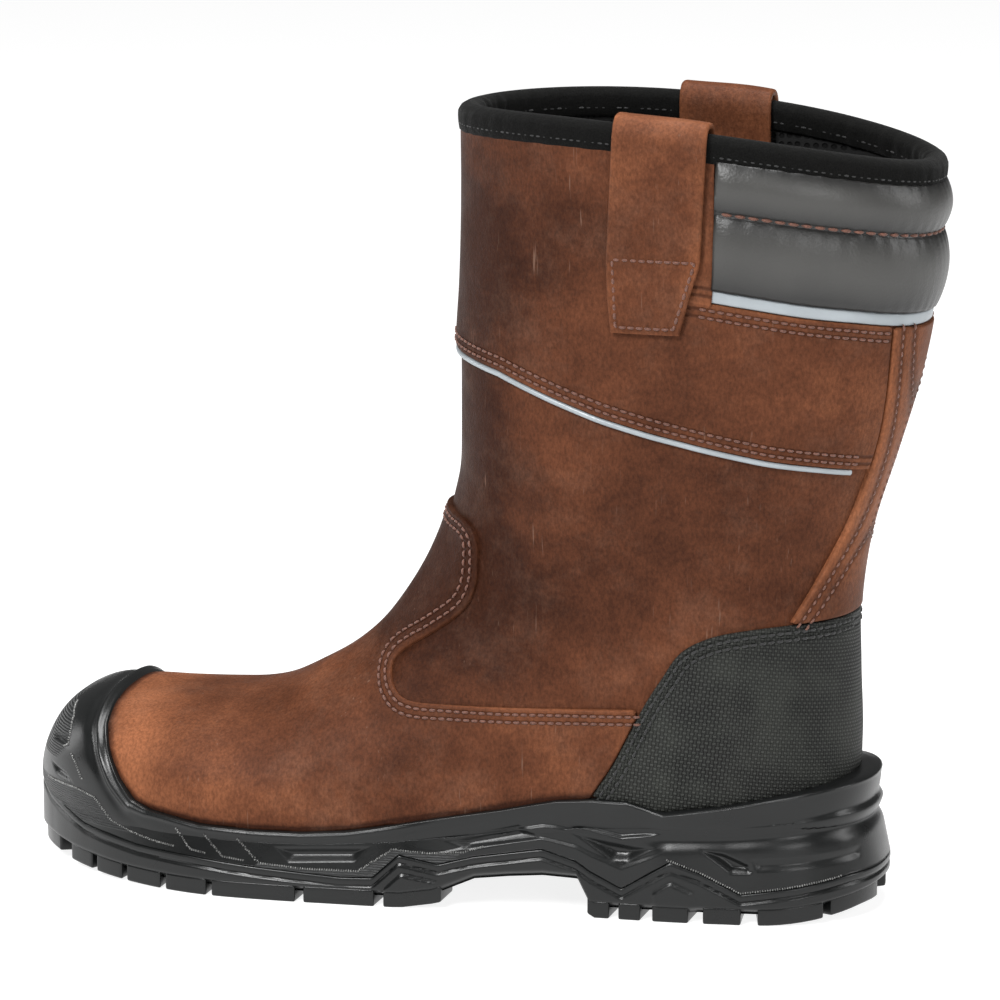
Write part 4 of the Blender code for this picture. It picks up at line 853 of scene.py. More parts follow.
def leather_finish(name, lightness=0.0, seams=True):
    """Waxed pull-up leather: umber clouds, orange where it is pulled or cut, fine pores, a soft haze, and
    painted shade over the sole's edge, in the stitch grooves and in patches, with a painted highlight in
    one.
    """
    c, s = colours(), sizes()
    f = Finish(name, Specular_IOR_Level=0.08)
    at = f.where()
    clouds = f.noise(at, 0.050, 6.0, 0.66)
    drift = f.noise(f.stretched(at, (0.55, 0.55, 1)), 0.011, 5.0, 0.68)
    fibres = f.noise(f.stretched(at, (1, 1, 0.6)), 0.0010, 3.0, 0.65)
    shade = f.plus(f.times(clouds, 1.15), drift, 0.42)
    # Painted light and shade: the listed patches darken the throat and the shaft's front and lighten the
    # toe, besides the leather's own uneven colour.
    shade = f.plus(shade, f.value("tone_and_shading"), 0.66)
    shade = f.math("SUBTRACT", shade, 0.355 - lightness)
    edge = f.value("edge_mm")
    shade = f.plus(shade, f.ramp(edge, 0.25, 0.9, 1.0, 0.0), 0.18)
    shade = f.math("ADD", shade, f.ramp(edge, 0.9, 6.0, 0.10, 0.0))
    # Painted shade: the leather is darkened in a band just over the sole's edge.
    shade = f.math("SUBTRACT", shade, f.times(f.value("rim_shade"), 0.75))
    dark = f.mix(f.ramp(shade, 0.10, 0.52), paint(c.leather_dark), paint(c.leather))
    colour = f.mix(f.ramp(shade, 0.52, 1.0), dark, paint(c.leather_light))
    haze = f.times(f.ramp(f.noise(at, 0.028, 8.0, 0.78), 0.50, 0.75), 0.16)
    colour = f.mix(haze, colour, paint(c.wax))
    speck = f.ramp(fibres, 0.32, 0.68, 0.72, 1.24)
    speck = f.add("CombineColor", {0: speck, 1: speck, 2: speck}).outputs[0]
    colour = f.mix(1.0, colour, speck, "MULTIPLY")
    scratch = f.noise(f.stretched(at, (1, 1, 0.07), (0.3, 0.7, 0.2)), 0.0011, 2.0, 0.5)
    scratch = f.times(f.ramp(scratch, 0.675, 0.78), f.ramp(f.noise(at, 0.02, 1.0), 0.48, 0.58))
    colour = f.mix(f.times(scratch, 0.45), colour, paint(c.wax))
    grain = f.math("ADD", f.times(f.cells(at, s.grain), 0.5), f.noise(at, s.grain * 0.45, 3.0, 0.6))
    normal = f.bump(grain, 0.10 * MM)
    normal = f.bump(f.noise(at, 0.007, 4.0, 0.6), 0.35 * MM, normal)
    if seams:
        groove = seam_groove(f, 0.2, 0.8)
        # Painted shade: the leather is darkened along the two stitch grooves of a double seam.
        colour = f.mix(f.times(groove, 0.65), colour, paint(c.leather_dark))
        normal = f.bump(groove, -0.35 * MM, normal)
    rough = f.ramp(f.noise(at, 0.018, 5.0, 0.7), 0.3, 0.7, 0.44, 0.62)
    return f.done(colour, rough, normal)


def cloth_finish(name):
    """Coarse black cloth, woven on the slant, painted lighter on the yarn's crests and near black in its
    hollows as highlight and shade.
    """
    cloth = colours().cloth
    f = Finish(name, Specular_IOR_Level=0.22)
    at = f.stretched(f.vector("cloth"), (1, 1, 1), (0, 0, math.radians(5)))
    split = f.add("SeparateXYZ", {0: at})
    turn = math.pi / sizes().weave
    warp, weft = (f.math("SINE", f.times(split.outputs[k], turn)) for k in (0, 1))
    over = f.ramp(f.times(warp, weft), -0.25, 0.25)
    height = f.add("Mix", {0: over, 2: f.math("ABSOLUTE", warp), 3: f.math("ABSOLUTE", weft)}).outputs[0]
    height = f.times(height, f.math("ADD", f.times(over, 0.45), 0.55))
    dusty = f.noise(f.where(), 0.02, 4.0, 0.6)
    # Painted highlight and shade: the weave's crests lighter, its hollows near black.
    colour = f.mix(f.ramp(height, 0.2, 0.9), paint(cloth, 0.12), paint(cloth, 1.7))
    colour = f.mix(f.ramp(dusty, 0.4, 0.75, 0.0, 0.25), colour, (0.075, 0.08, 0.068, 1.0))
    normal = f.bump(height, 0.35 * MM)
    normal = f.bump(seam_groove(f, 0.3, 1.2), -0.5 * MM, normal)
    return f.done(colour, f.ramp(height, 0.0, 1.0, 0.75, 0.5), normal)


def lining_finish(name):
    """Black spacer mesh with round holes, painted near black inside as shade."""
    lining = colours().lining
    f = Finish(name, Specular_IOR_Level=0.2)
    pitch = {"Vector": f.vector("cloth"), "Scale": 1 / (2.9 * MM), "Randomness": 0.12}
    holes = f.add("TexVoronoi", pitch, voronoi_dimensions="2D").outputs["Distance"]
    open_share = f.ramp(holes, 0.22, 0.36, 1.0, 0.0)
    knit = f.noise(f.where(), 0.5 * MM, 2.0, 0.5)
    # Painted shade: the holes are painted near black.
    colour = f.mix(open_share, paint(lining, 1.6), paint(lining, 0.15))
    colour = f.mix(f.ramp(knit, 0.4, 0.7, 0.0, 0.5), colour, paint(lining, 0.5))
    normal = f.bump(open_share, -0.8 * MM, f.bump(knit, 0.15 * MM))
    return f.done(colour, 0.8, normal)


def nap_finish(name):
    """Short black nap of the rolled binding."""
    binding = colours().binding
    f = Finish(name, Sheen_Weight=0.05, Sheen_Roughness=0.4, Specular_IOR_Level=0.08)
    at = f.where()
    fuzz = f.noise(at, 0.35 * MM, 3.0, 0.7)
    lump = f.noise(at, 2.2 * MM, 3.0, 0.6)
    colour = f.mix(f.ramp(fuzz, 0.35, 0.7), paint(binding, 0.5), paint(binding, 2.4))
    normal = f.bump(lump, 0.35 * MM, f.bump(fuzz, 0.18 * MM))
    return f.done(colour, 0.92, normal)


def padding_finish(name):
    """Coated leather of the collar padding: fine even grain with a satin gloss, painted lighter on the
    rolls' crowns as highlight and darker at the seam and edges as shade.
    """
    padding = colours().padding
    f = Finish(name, Specular_IOR_Level=0.55)
    at = f.where()
    fine = f.noise(at, 0.5 * MM, 3.0, 0.6)
    full = f.math("ADD", f.value("full"), f.ramp(f.noise(at, 0.03, 4.0), 0.35, 0.7, -0.12, 0.12))
    # Painted highlight and shade: a dark copy of the colour at the seam and edges, a light copy on the
    # crowns.
    colour = f.mix(f.ramp(full, 0.25, 1.0), paint(padding, 0.35), paint(padding, 1.9))
    normal = f.bump(f.math("ADD", f.cells(at, 1.1 * MM), fine), 0.05 * MM)
    return f.done(colour, f.ramp(fine, 0.3, 0.7, 0.36, 0.44), normal)


def reflective_finish(name):
    """Grey reflective tape of tiny beads."""
    grey = colours().reflective
    f = Finish(name, Specular_IOR_Level=0.6, Metallic=0.15)
    at = f.where()
    beads = f.noise(at, 0.3 * MM, 2.0, 0.6)
    colour = f.mix(f.ramp(f.noise(at, 0.012, 3.0), 0.3, 0.7), paint(grey, 0.92), paint(grey, 1.12))
    return f.done(colour, f.ramp(beads, 0.3, 0.7, 0.34, 0.46), f.bump(beads, 0.03 * MM))


def rubber_finish(name):
    """Black moulded rubber: satin skin, with fine level ribs where the mould is textured, their crests
    painted grey as highlights.
    """
    rubber = colours().rubber
    f = Finish(name, Specular_IOR_Level=0.36)
    at = f.where()
    blotch = f.noise(at, 0.03, 4.0, 0.6)
    rough = f.value("texture")
    height = f.add("SeparateXYZ", {0: f.vector("cloth")}).outputs[1]
    wobble = f.noise(f.stretched(at, (0.4, 0.4, 1)), 1.2 * MM, 2.0, 0.5)
    phase = f.plus(f.times(height, 2 * math.pi / (0.85 * MM)), wobble, 4.0)
    ribs = f.times(f.math("ADD", f.math("SINE", phase), 1.0), 0.5)
    colour = f.mix(f.ramp(blotch, 0.35, 0.7), paint(rubber, 0.85), paint(rubber, 1.25))
    # Painted highlight: the crests of the textured ribs are painted grey.
    colour = f.mix(f.times(f.times(ribs, rough), 0.35), colour, (0.05, 0.052, 0.052, 1.0))
    normal = f.bump(f.noise(at, 0.6 * MM, 3.0, 0.6), 0.035 * MM)
    normal = f.bump(f.times(ribs, rough), 0.22 * MM, normal)
    return f.done(colour, f.plus(f.ramp(blotch, 0.3, 0.7, 0.24, 0.36), rough, 0.16), normal)


def bead_finish(name):
    """Rubber beads, polished by the mould, with light grey flecks painted on as their glints."""
    f = Finish(name, Specular_IOR_Level=0.7)
    speck = f.ramp(f.noise(f.where(), 0.6 * MM, 2.0), 0.35, 0.65)
    # Painted highlight: grey flecks on the black rubber stand for glints.
    return f.done(f.mix(speck, (0.02, 0.02, 0.02, 1.0), (0.30, 0.30, 0.29, 1.0)), 0.3)


def thread_finish(name, colour):
    """Twisted polyester thread."""
    f = Finish(name, Specular_IOR_Level=0.4, Sheen_Weight=0.2)
    twist = f.noise(f.where(), 0.45 * MM, 2.0, 0.5)
    shade = f.mix(f.ramp(twist, 0.3, 0.7), paint(colour, 0.55), paint(colour, 1.5))
    return f.done(shade, 0.6, f.bump(twist, 0.1 * MM))


def felt_finish(name):
    """Dark needled cloth of the insole."""
    f = Finish(name, Specular_IOR_Level=0.3, Sheen_Weight=0.25)
    fuzz = f.noise(f.where(), 0.9 * MM, 4.0, 0.7)
    colour = f.mix(fuzz, (0.008, 0.008, 0.009, 1.0), (0.045, 0.045, 0.048, 1.0))
    return f.done(colour, 0.9, f.bump(fuzz, 0.3 * MM))


def floor_finish(name):
    """Matt studio paper."""
    f = Finish(name, Specular_IOR_Level=0.1, Emission_Color=(1, 1, 1, 1), Emission_Strength=0.85)
    floor = colours().floor
    return f.done(f.mix(f.noise(f.where(), 0.8, 3.0, 0.5), paint(floor), paint(floor, 0.985)), 0.75)


def finish(name, make, *words):
    """A finish, made once."""
    return bpy.data.materials.get(name) or make(name, *words)


def panel_leather(lightness=0.0):
    return finish(f"waxed_leather_{int(100 * lightness):+03d}".replace("+", "p").replace("-", "m"),
                  leather_finish, lightness)


# Outlines of the panels


def bed_height(x):
    """Underside of the upper, on which the foot bed lies."""
    return np.interp(x, SECTIONS[1:15, 2], SECTIONS[1:15, 3])


def cover_outline():
    """Side-view outline of the sole with its toe cap, running well past the boot."""
    cap = [(along(a), b * TOE_HEIGHT) for a, b in CAP_EDGE]
    rim = [(along(a), b * HEEL_STACK) for a, b in RIM_LINE]
    front, back, floor = along(-0.3), along(1.4), -HEEL_STACK
    return np.array([(front, cap[0][1])] + cap + rim + [(back, rim[-1][1]), (back, floor), (front, floor)])


COVER = cover_outline()


def over_rim(points):
    """How far points of the upper lie over the sole's top edge, or behind the toe cap's."""
    return -depth_inside(COVER, side_view(points))


def cuff_foot(x):
    return side_line(CUFF_EDGE, x, COLLAR_HEIGHT)


def band_foot(x):
    return side_line(BAND_FOOT, x, COLLAR_HEIGHT)


def counter_top(x):
    return side_line(COUNTER_FRONT[6:], x, COUNTER_HEIGHT)


def collar_line(x):
    """Height of the shaft's raw top edge at x."""
    rim = bare_surface(LAST_ROW, np.linspace(0, math.pi, 49))
    return np.interp(x, rim[:, 0], rim[:, 2])


def side_run(height, first, last):
    """A side line between two places along X, from a function for its height."""
    x = np.linspace(first, last, 60)
    return np.stack((x, height(x)), axis=1)


def vamp_outline():
    throat = rounded(VAMP_EDGE, INSTEP_HEIGHT)
    counter = rounded(COUNTER_FRONT, COUNTER_HEIGHT)
    counter = counter[counter[:, 1] < throat[-1, 1]][::-1]
    ends = [(along(0.70), 0), (along(-0.1), 0), (along(-0.1), throat[0, 1])]
    return np.concatenate((throat, counter, ends))


def counter_outline():
    ends = [(along(1.2), COUNTER_HEIGHT), (along(1.2), 0), (along(0.68), 0)]
    return np.concatenate((rounded(COUNTER_FRONT, COUNTER_HEIGHT), ends))


def backstay_outline():
    front = rounded(BACKSTAY_FRONT, COLLAR_HEIGHT)
    return np.concatenate((front, [(along(1.3), front[-1, 1]), (along(1.3), front[0, 1])]))


def free_edge(outline):
    """Depth of points inside a panel's outline, where the sole's rim cuts the panel but makes no bead."""
    def inside(points):
        depth = depth_inside(outline, side_view(points)) - JOINT / 2
        rim = over_rim(points)
        return np.where(rim > 0, np.minimum(depth, rim + 1.0), rim)
    return inside


# Grids that the panels are cut from: first and last section and how many, first and last angle and its step
VAMP_GRID = (2.0, 20.5, 186), (-2.75, 2.75, 0.036)
COUNTER_GRID = (9.5, 20.0, 127), (0.9, 2 * math.pi - 0.9, 0.036)
BACKSTAY_GRID = (12.0, 24.6, 140), (2.0, 2 * math.pi - 2.0, 0.03)
CUFF_GRID = (18.6, LAST_ROW, 92), (-2.9, 2.9, 0.034)
OUTER_WALL_GRID = (9, 161)           # sections to one row of the tables, angles all round
LINING_GRID = (5, 109)


class RIGGER_OT_upper(Operator):
    """Quarters and shaft as one leather wall with its lining"""
    bl_idname = "rigger_boot.upper"
    bl_label = "Upper and lining"

    def execute(self, context):
        def standing(p):
            return p[..., 2] - bed_height(p[..., 0]) - INSOLE_THICKNESS - 2 * JOINT
        parts, slots, tones_and_shading, places = [], [], [], []
        centre = 0.42 * COLLAR_DEPTH
        for (per_row, round_it), proud, slot in ((OUTER_WALL_GRID, 0.0, 0), (LINING_GRID, -UPPER_WALL, 1)):
            rows = np.linspace(0.0, LAST_ROW, LAST_ROW * per_row + 1)
            data, faces = cut_sheet(rows, np.linspace(0, 2 * math.pi, round_it), standing, ())
            t, a = data[:, T], data[:, ANGLE]
            parts.append((lifted(t, a, proud), faces[:, ::-1] if slot else faces))
            flat = bare_surface(t, a)
            # Patches of the leather's own colour, some of them painted shade and highlight.
            tones_and_shading.append(tone_and_shading_at(flat))
            turned = np.arctan2(flat[:, 1], flat[:, 0] - centre) * centre
            places.append(np.stack((turned, flat[:, 2], np.zeros(len(t))), axis=1))
            slots += [slot] * len(faces)
        points, faces = joined(parts)
        attributes = {"tone_and_shading": np.concatenate(tones_and_shading), "edge_mm": np.full(len(points), 20.0),
                      "cloth": np.concatenate(places)}
        skins = [panel_leather(), finish("mesh_lining", lining_finish)]
        obj = mesh_object("upper_leather_and_lining", points, faces, skins, attributes, slots, weld=True)
        dress(obj, "upper")
        return {"FINISHED"}


class RIGGER_OT_vamp(Operator):
    """Vamp, cut over the instep and running back along the sole to the counter"""
    bl_idname = "rigger_boot.vamp"
    bl_label = "Vamp"

    def execute(self, context):
        rows, angles = VAMP_GRID
        obj = panel("vamp_leather", np.linspace(*rows), angle_places(*angles), free_edge(vamp_outline()),
                    sizes().leather, panel_leather(0.06), [rounded(VAMP_EDGE, INSTEP_HEIGHT)])
        dress(obj, "vamp")
        return {"FINISHED"}


class RIGGER_OT_counter(Operator):
    """Heel counter of coarse cloth"""
    bl_idname = "rigger_boot.heel_counter"
    bl_label = "Heel counter"

    def execute(self, context):
        rows, angles = COUNTER_GRID
        cloth = finish("counter_cloth", cloth_finish)
        obj = panel("heel_counter_cloth", np.linspace(*rows), angle_places(*angles),
                    free_edge(counter_outline()), sizes().fabric, cloth,
                    [rounded(COUNTER_FRONT, COUNTER_HEIGHT)])
        dress(obj, "heel_counter")
        return {"FINISHED"}


class RIGGER_OT_backstay(Operator):
    """Backstay, the strip up the back of the shaft"""
    bl_idname = "rigger_boot.backstay"
    bl_label = "Backstay"

    def execute(self, context):
        outline = backstay_outline()

        def inside(p):
            x = p[..., 0]
            front = depth_inside(outline, side_view(p)) - JOINT / 2
            ends = np.minimum(p[..., 2] - counter_top(x) - JOINT, band_foot(x) - JOINT / 2 - p[..., 2])
            back = np.where(x > along(0.9), 1.0, -1.0)
            return np.minimum(np.minimum(front, ends), back)
        rows, angles = BACKSTAY_GRID
        obj = panel("backstay_leather", np.linspace(*rows), angle_places(*angles), inside, sizes().leather,
                    panel_leather(0.16), [rounded(BACKSTAY_FRONT, COLLAR_HEIGHT)], CLEARANCE + 0.25 * MM)
        dress(obj, "backstay")
        return {"FINISHED"}


class RIGGER_OT_cuff(Operator):
    """Cuff panel round the top of the shaft"""
    bl_idname = "rigger_boot.cuff"
    bl_label = "Cuff panel"

    def execute(self, context):
        stay = backstay_outline()
        depth_down = sizes().binding_depth
        rows, span = CUFF_GRID
        angles = np.unique(np.concatenate((angle_places(*span), (-PAD_START, PAD_START))))

        def inside(p):
            x, z = p[..., 0], p[..., 2]
            low = z - cuff_foot(x) - JOINT / 2
            clear_of_stay = -depth_inside(stay, side_view(p)) - JOINT / 2
            behind = np.broadcast_to(np.abs(angles) > PAD_START, x.shape)
            top = np.where(behind, band_foot(x) - JOINT / 2 - z, collar_line(x) - depth_down - z)
            return np.minimum(np.minimum(low, top), np.where(x > along(0.9), clear_of_stay, 1.0))
        seams = [side_run(cuff_foot, along(0.40), along(1.1)),
                 side_run(band_foot, LOOP_FRONT_X + LOOP_WIDTH / 2, along(1.1))]
        obj = panel("cuff_leather", np.linspace(*rows), angles, inside, sizes().leather,
                    panel_leather(0.03), seams)
        dress(obj, "cuff_panel")
        return {"FINISHED"}


# Collar


def shaft_row(angle, height_at, first=17.0):
    """Sections at which the shaft, at given angles, crosses a line seen from the side."""
    low = np.full(np.shape(angle), first)
    high = np.full(np.shape(angle), float(LAST_ROW))
    for _ in range(26):
        middle = (low + high) / 2
        p = bare_surface(middle, angle)
        below = p[..., 2] < height_at(p[..., 0])
        low, high = np.where(below, middle, low), np.where(below, high, middle)
    return (low + high) / 2


def strip(angles, low, high, ups, prouds):
    """Points of a strip round the shaft between two side lines: shares up it, and how proud each is."""
    bottom, top = shaft_row(angles, low), shaft_row(angles, high)
    t = bottom[:, None] + (top - bottom)[:, None] * ups
    return lifted(t, np.broadcast_to(angles[:, None], t.shape), prouds)


def band_top(x):
    return band_foot(x) + BAND_TOP_RISE


def padded_angles(gap, step):
    """Angles round the back of the shaft, from a gap behind one end of the padding to the other."""
    return angle_places(PAD_START + gap, 2 * math.pi - PAD_START - gap, step)


# Points of the padding, and its crumples
PAD_STEP = 0.014                     # angle from one column of its points to the next
PAD_ROWS = 53
PUCKER_PITCH = 4.4 * MM              # one to each stitch of the padding's seam
PUCKER_DEPTH = 0.22 * MM
EDGE_PUCKER_DEPTH = 0.12 * MM
SLOW_WAVES = ((17 * MM, 0.0, 0.5), (7.3 * MM, 1.3, 0.3))     # length, phase, share
SLOW_DEPTH = 0.10 * MM
SEAM_SINK = 0.5 * MM


class RIGGER_OT_collar_pad(Operator):
    """Quilted collar padding in two rolls, with its middle seam"""
    bl_idname = "rigger_boot.collar_pad"
    bl_label = "Collar padding"

    def execute(self, context):
        s = sizes()
        angles = padded_angles(PAD_GAP, PAD_STEP)
        middle = np.linspace(0.0, 1.0, PAD_ROWS)
        ups = np.concatenate(((0.0, 0.0), middle, (1.0, 1.0)))
        rolls = np.abs(np.sin(2 * math.pi * middle)) ** 0.85 * np.where(middle < 0.5, 1.0, 0.94)
        fullness = np.concatenate(((0.0, 0.0), rolls, (0.0, 0.0)))
        run = np.cumsum(np.full(len(angles), PAD_STEP)) * 0.55 * COLLAR_DEPTH / 2 * 1.1
        near_seam = np.exp(-np.abs(ups - 0.5) / 0.085)
        near_edge = np.exp(-np.minimum(ups, 1 - ups) / 0.06)
        pucker = np.cos(2 * math.pi * run / PUCKER_PITCH)[:, None]
        slow = sum(np.sin(run / length + phase) * share for length, phase, share in SLOW_WAVES)[:, None]
        ends = np.clip(np.minimum(angles - angles[0], angles[-1] - angles) / 0.05, 0, 1) ** 0.5
        swell = (s.pad_crown - s.pad_seam) * fullness * (0.55 + 0.45 * ends[:, None])
        wrinkles = PUCKER_DEPTH * pucker * near_seam * (1 - near_seam ** 6)
        wrinkles = wrinkles + SLOW_DEPTH * slow * fullness - SEAM_SINK * near_seam ** 8
        wrinkles = wrinkles + EDGE_PUCKER_DEPTH * pucker * near_edge
        prouds = s.pad_seam + swell + wrinkles
        prouds[:, 0] = prouds[:, -1] = 0.0
        prouds[:, 1] = prouds[:, -2] = s.pad_seam * 0.6

        def low(x):
            return band_top(x) + JOINT / 2

        def high(x):
            return collar_line(x) - s.binding_depth - JOINT
        points = strip(angles, low, high, ups, prouds)
        rows, columns = points.shape[:2]
        j = np.arange(1, columns - 1)
        end = np.stack((0 * j, j + 1, j), axis=1)
        faces = np.concatenate((grid_triangles(rows, columns), end, end[:, ::-1] + (rows - 1) * columns))
        # The rolls' fullness also paints the padding's highlight and shade into its colour.
        full = np.broadcast_to(fullness, prouds.shape).ravel()
        leather = finish("coated_padding", padding_finish)
        obj = mesh_object("collar_padding", points.reshape(-1, 3), faces, [leather], {"full": full})
        dress(obj, "collar_pad")
        return {"FINISHED"}


class RIGGER_OT_reflective(Operator):
    """Reflective band under the padding, and reflective piping under the cuff"""
    bl_idname = "rigger_boot.reflective"
    bl_label = "Reflective trim"

    def execute(self, context):
        s = sizes()
        tape = finish("reflective_tape", reflective_finish)
        angles = padded_angles(PAD_GAP, 0.02)
        ups = np.array((0.0, 0.0, 0.05, 0.15, 0.5, 0.85, 0.95, 1.0, 1.0))
        prouds = np.array((0.0, 0.55, 0.85, 1.0, 1.0, 1.0, 0.85, 0.55, 0.0)) * s.band + CLEARANCE * 0.8
        points = strip(angles, lambda x: band_foot(x) + JOINT / 2, lambda x: band_top(x) - JOINT / 2, ups,
                       np.broadcast_to(prouds, (len(angles), len(ups))))
        faces = grid_triangles(*points.shape[:2])
        obj = mesh_object("reflective_band_tape", points.reshape(-1, 3), faces, [tape])
        dress(obj, "reflective_band")
        radius = s.piping / 2

        def height(x):
            return cuff_foot(x) - JOINT / 2 - 1.1 * radius
        end = place([(along(1.0), float(height(along(1.0))))])[1][0]
        angles = angle_places(-end, end, 0.02)
        row = shaft_row(angles, height)
        centre = lifted(row, angles, np.full(len(angles), CLEARANCE * 0.6 + radius))
        out = surface_normal(row, angles)
        up = unit(bare_surface(row + 0.1, angles) - bare_surface(row - 0.1, angles))
        turn = np.linspace(0, 2 * math.pi, 13)[:, None]
        ring = out[:, None] * np.cos(turn) + up[:, None] * np.sin(turn) * 1.15
        points = centre[:, None] + ring * radius
        faces = grid_triangles(*points.shape[:2])
        obj = mesh_object("reflective_piping_cord", points.reshape(-1, 3), faces, [tape], weld=True)
        dress(obj, "reflective_piping")
        return {"FINISHED"}


# How far down the collar in binding depths (minus: over the top), and how proud in thicknesses
BINDING_PROFILE = (
    (1.06, 0.0), (1.05, 0.62), (0.97, 0.98), (0.72, 1.16), (0.42, 1.22), (0.15, 1.18), (0.0, 1.05),
    (-0.18, 0.86), (-0.34, 0.45), (-0.42, 0.0),
)


class RIGGER_OT_binding(Operator):
    """Rolled, napped binding over the collar's edge"""
    bl_idname = "rigger_boot.binding"
    bl_label = "Collar binding"

    def execute(self, context):
        s = sizes()
        angles = np.linspace(0, 2 * math.pi, 361)
        step = 0.3
        climb = bare_surface(LAST_ROW, angles) - bare_surface(LAST_ROW - step, angles)
        speed, up = np.linalg.norm(climb, axis=1) / step, unit(climb)
        half_wall = UPPER_WALL / 2
        half = []
        for down, p in BINDING_PROFILE:
            proud = half_wall + CLEARANCE + p * s.binding
            half.append((down, proud if down >= 0 else (half_wall + CLEARANCE + s.binding) * p))
        profile = [(d, p - half_wall) for d, p in half] + [(d, -p - half_wall) for d, p in half[-2::-1]]
        points = []
        lump = 1 + 0.03 * np.sin(angles * 37) + 0.03 * np.sin(angles * 61 + 1)
        for down, proud in profile:
            t = LAST_ROW - np.maximum(0.0, down) * s.binding_depth / speed
            over = np.maximum(0.0, -down) * s.binding_depth
            on_top = abs(proud + half_wall) < 1e-4
            points.append(lifted(t, angles, proud * (np.ones(len(angles)) if on_top else lump)) + up * over)
        points = np.stack(points, axis=1)
        obj = mesh_object("collar_binding_nap", points.reshape(-1, 3), grid_triangles(*points.shape[:2]),
                          [finish("black_nap", nap_finish)], weld=True)
        dress(obj, "collar_binding")
        return {"FINISHED"}


# Pull loops


def loop_path():
    """Heights and distances off the shaft along a pull loop's middle, from its sewn end to the inside."""
    half = sizes().loop / 2
    lift = CLEARANCE + sizes().leather + CLEARANCE
    out, inside = lift + half, -UPPER_WALL - lift - half
    top_z = float(collar_line(LOOP_FRONT_X + LOOP_WIDTH / 2))
    tip = LOOP_FOOT_Z + LOOP_TIP_LENGTH
    crest = top_z + CLEARANCE + sizes().binding + 4 * CLEARANCE + half
    path = np.array((
        (LOOP_FOOT_Z, out), (tip, out), ((tip + top_z) / 2, out),
        (top_z - 10 * MM, out + 0.4 * LOOP_STAND_OFF), (top_z - 1 * MM, out + LOOP_STAND_OFF),
        (crest - 1.0 * MM, lift), (crest, -UPPER_WALL / 2), (crest - 1.0 * MM, -UPPER_WALL - lift),
        (top_z - 1 * MM, inside - 0.8 * MM), (top_z - 12 * MM, inside - 0.3 * MM),
        (top_z - LOOP_INSIDE, inside),
    ))
    return smooth_line(path, 12), top_z, tip


def strap_points(path, top_z, tip, side, across):
    """Points of the strap's middle layer at shares across its width."""
    rows = []
    outside = np.arange(len(path)) < len(path) * 0.55
    taper_end = tip + 12 * MM
    for (z, proud), out in zip(path, outside):
        draw = LOOP_TIP_TAPER * max(0.0, (taper_end - z) / (LOOP_TIP_LENGTH + 12 * MM)) if out else 0.0
        follow = max(0.0, min(1.0, (z - tip) / (top_z - tip))) if out else 1.0
        x = LOOP_FRONT_X + draw * 0.35 + (LOOP_WIDTH - 1.4 * draw) * across + LOOP_LEAN * follow
        height = z + follow * (collar_line(x) - top_z)
        under = np.minimum(height, collar_line(x) - 1.5 * MM)
        t, a = place(np.stack((x, under), axis=1))
        y = bare_surface(t, side * a)[:, 1]
        rows.append(np.stack((x, y - side * proud, height), axis=1))
    return np.array(rows)


class RIGGER_OT_pull_loops(Operator):
    """The two pull loops of folded leather strap"""
    bl_idname = "rigger_boot.pull_loops"
    bl_label = "Pull loops"

    def execute(self, context):
        half = sizes().loop / 2
        across = np.concatenate(((0.0, 0.012, 0.03), np.linspace(0.07, 0.93, 15), (0.97, 0.988, 1.0)))
        for name, side in (("outer", 1), ("inner", -1)):
            path, top_z, tip = loop_path()
            middle = strap_points(path, top_z, tip, side, across)
            rows, columns = middle.shape[:2]
            out = unit(np.cross(np.gradient(middle, axis=0), np.gradient(middle, axis=1))) * -side
            edge = np.minimum(across, 1 - across) * LOOP_WIDTH
            thick = half * edge_rise(edge, 1.1 * MM)[None, :, None]
            wave = 0.25 * MM * np.sin(np.linspace(0, 9, rows))[:, None] * np.sin(across * 5 + 1)
            layers = middle + out * (thick + wave[..., None]), middle - out * thick
            points = np.concatenate([layer.reshape(-1, 3) for layer in layers])
            faces = grid_triangles(rows, columns)
            count = rows * columns
            rim = border(faces)
            seam = halved(rim[:, 1], rim[:, 0], rim[:, 0] + count, rim[:, 1] + count)
            ends = np.arange(rows)[:, None] * 2.0
            depth = np.minimum(edge / MM, np.minimum(ends, ends[::-1])).ravel()
            fold = np.exp(-((np.arange(rows) / rows - 0.52) / 0.08) ** 2)
            tone_and_shading = np.repeat(0.05 + 0.25 * fold, columns)
            attributes = {"edge_mm": np.tile(depth, 2) + 0.6, "tone_and_shading": np.tile(tone_and_shading, 2)}
            leather = finish("strap_leather", leather_finish, 0.05, False)
            obj = mesh_object(f"pull_loop_{name}_strap", points,
                              np.concatenate((faces, faces[:, ::-1] + count, seam)), [leather], attributes)
            face_outwards(obj)
            dress(obj, f"pull_loop_{name}")
        return {"FINISHED"}


def face_outwards(obj):
    bm = bmesh.new()
    bm.from_mesh(obj.data)
    bmesh.ops.recalc_face_normals(bm, faces=bm.faces)
    bm.to_mesh(obj.data)
    bm.free()
    obj.data.shade_smooth()
    obj.data.set_sharp_from_angle(angle=math.radians(50))


# Sole


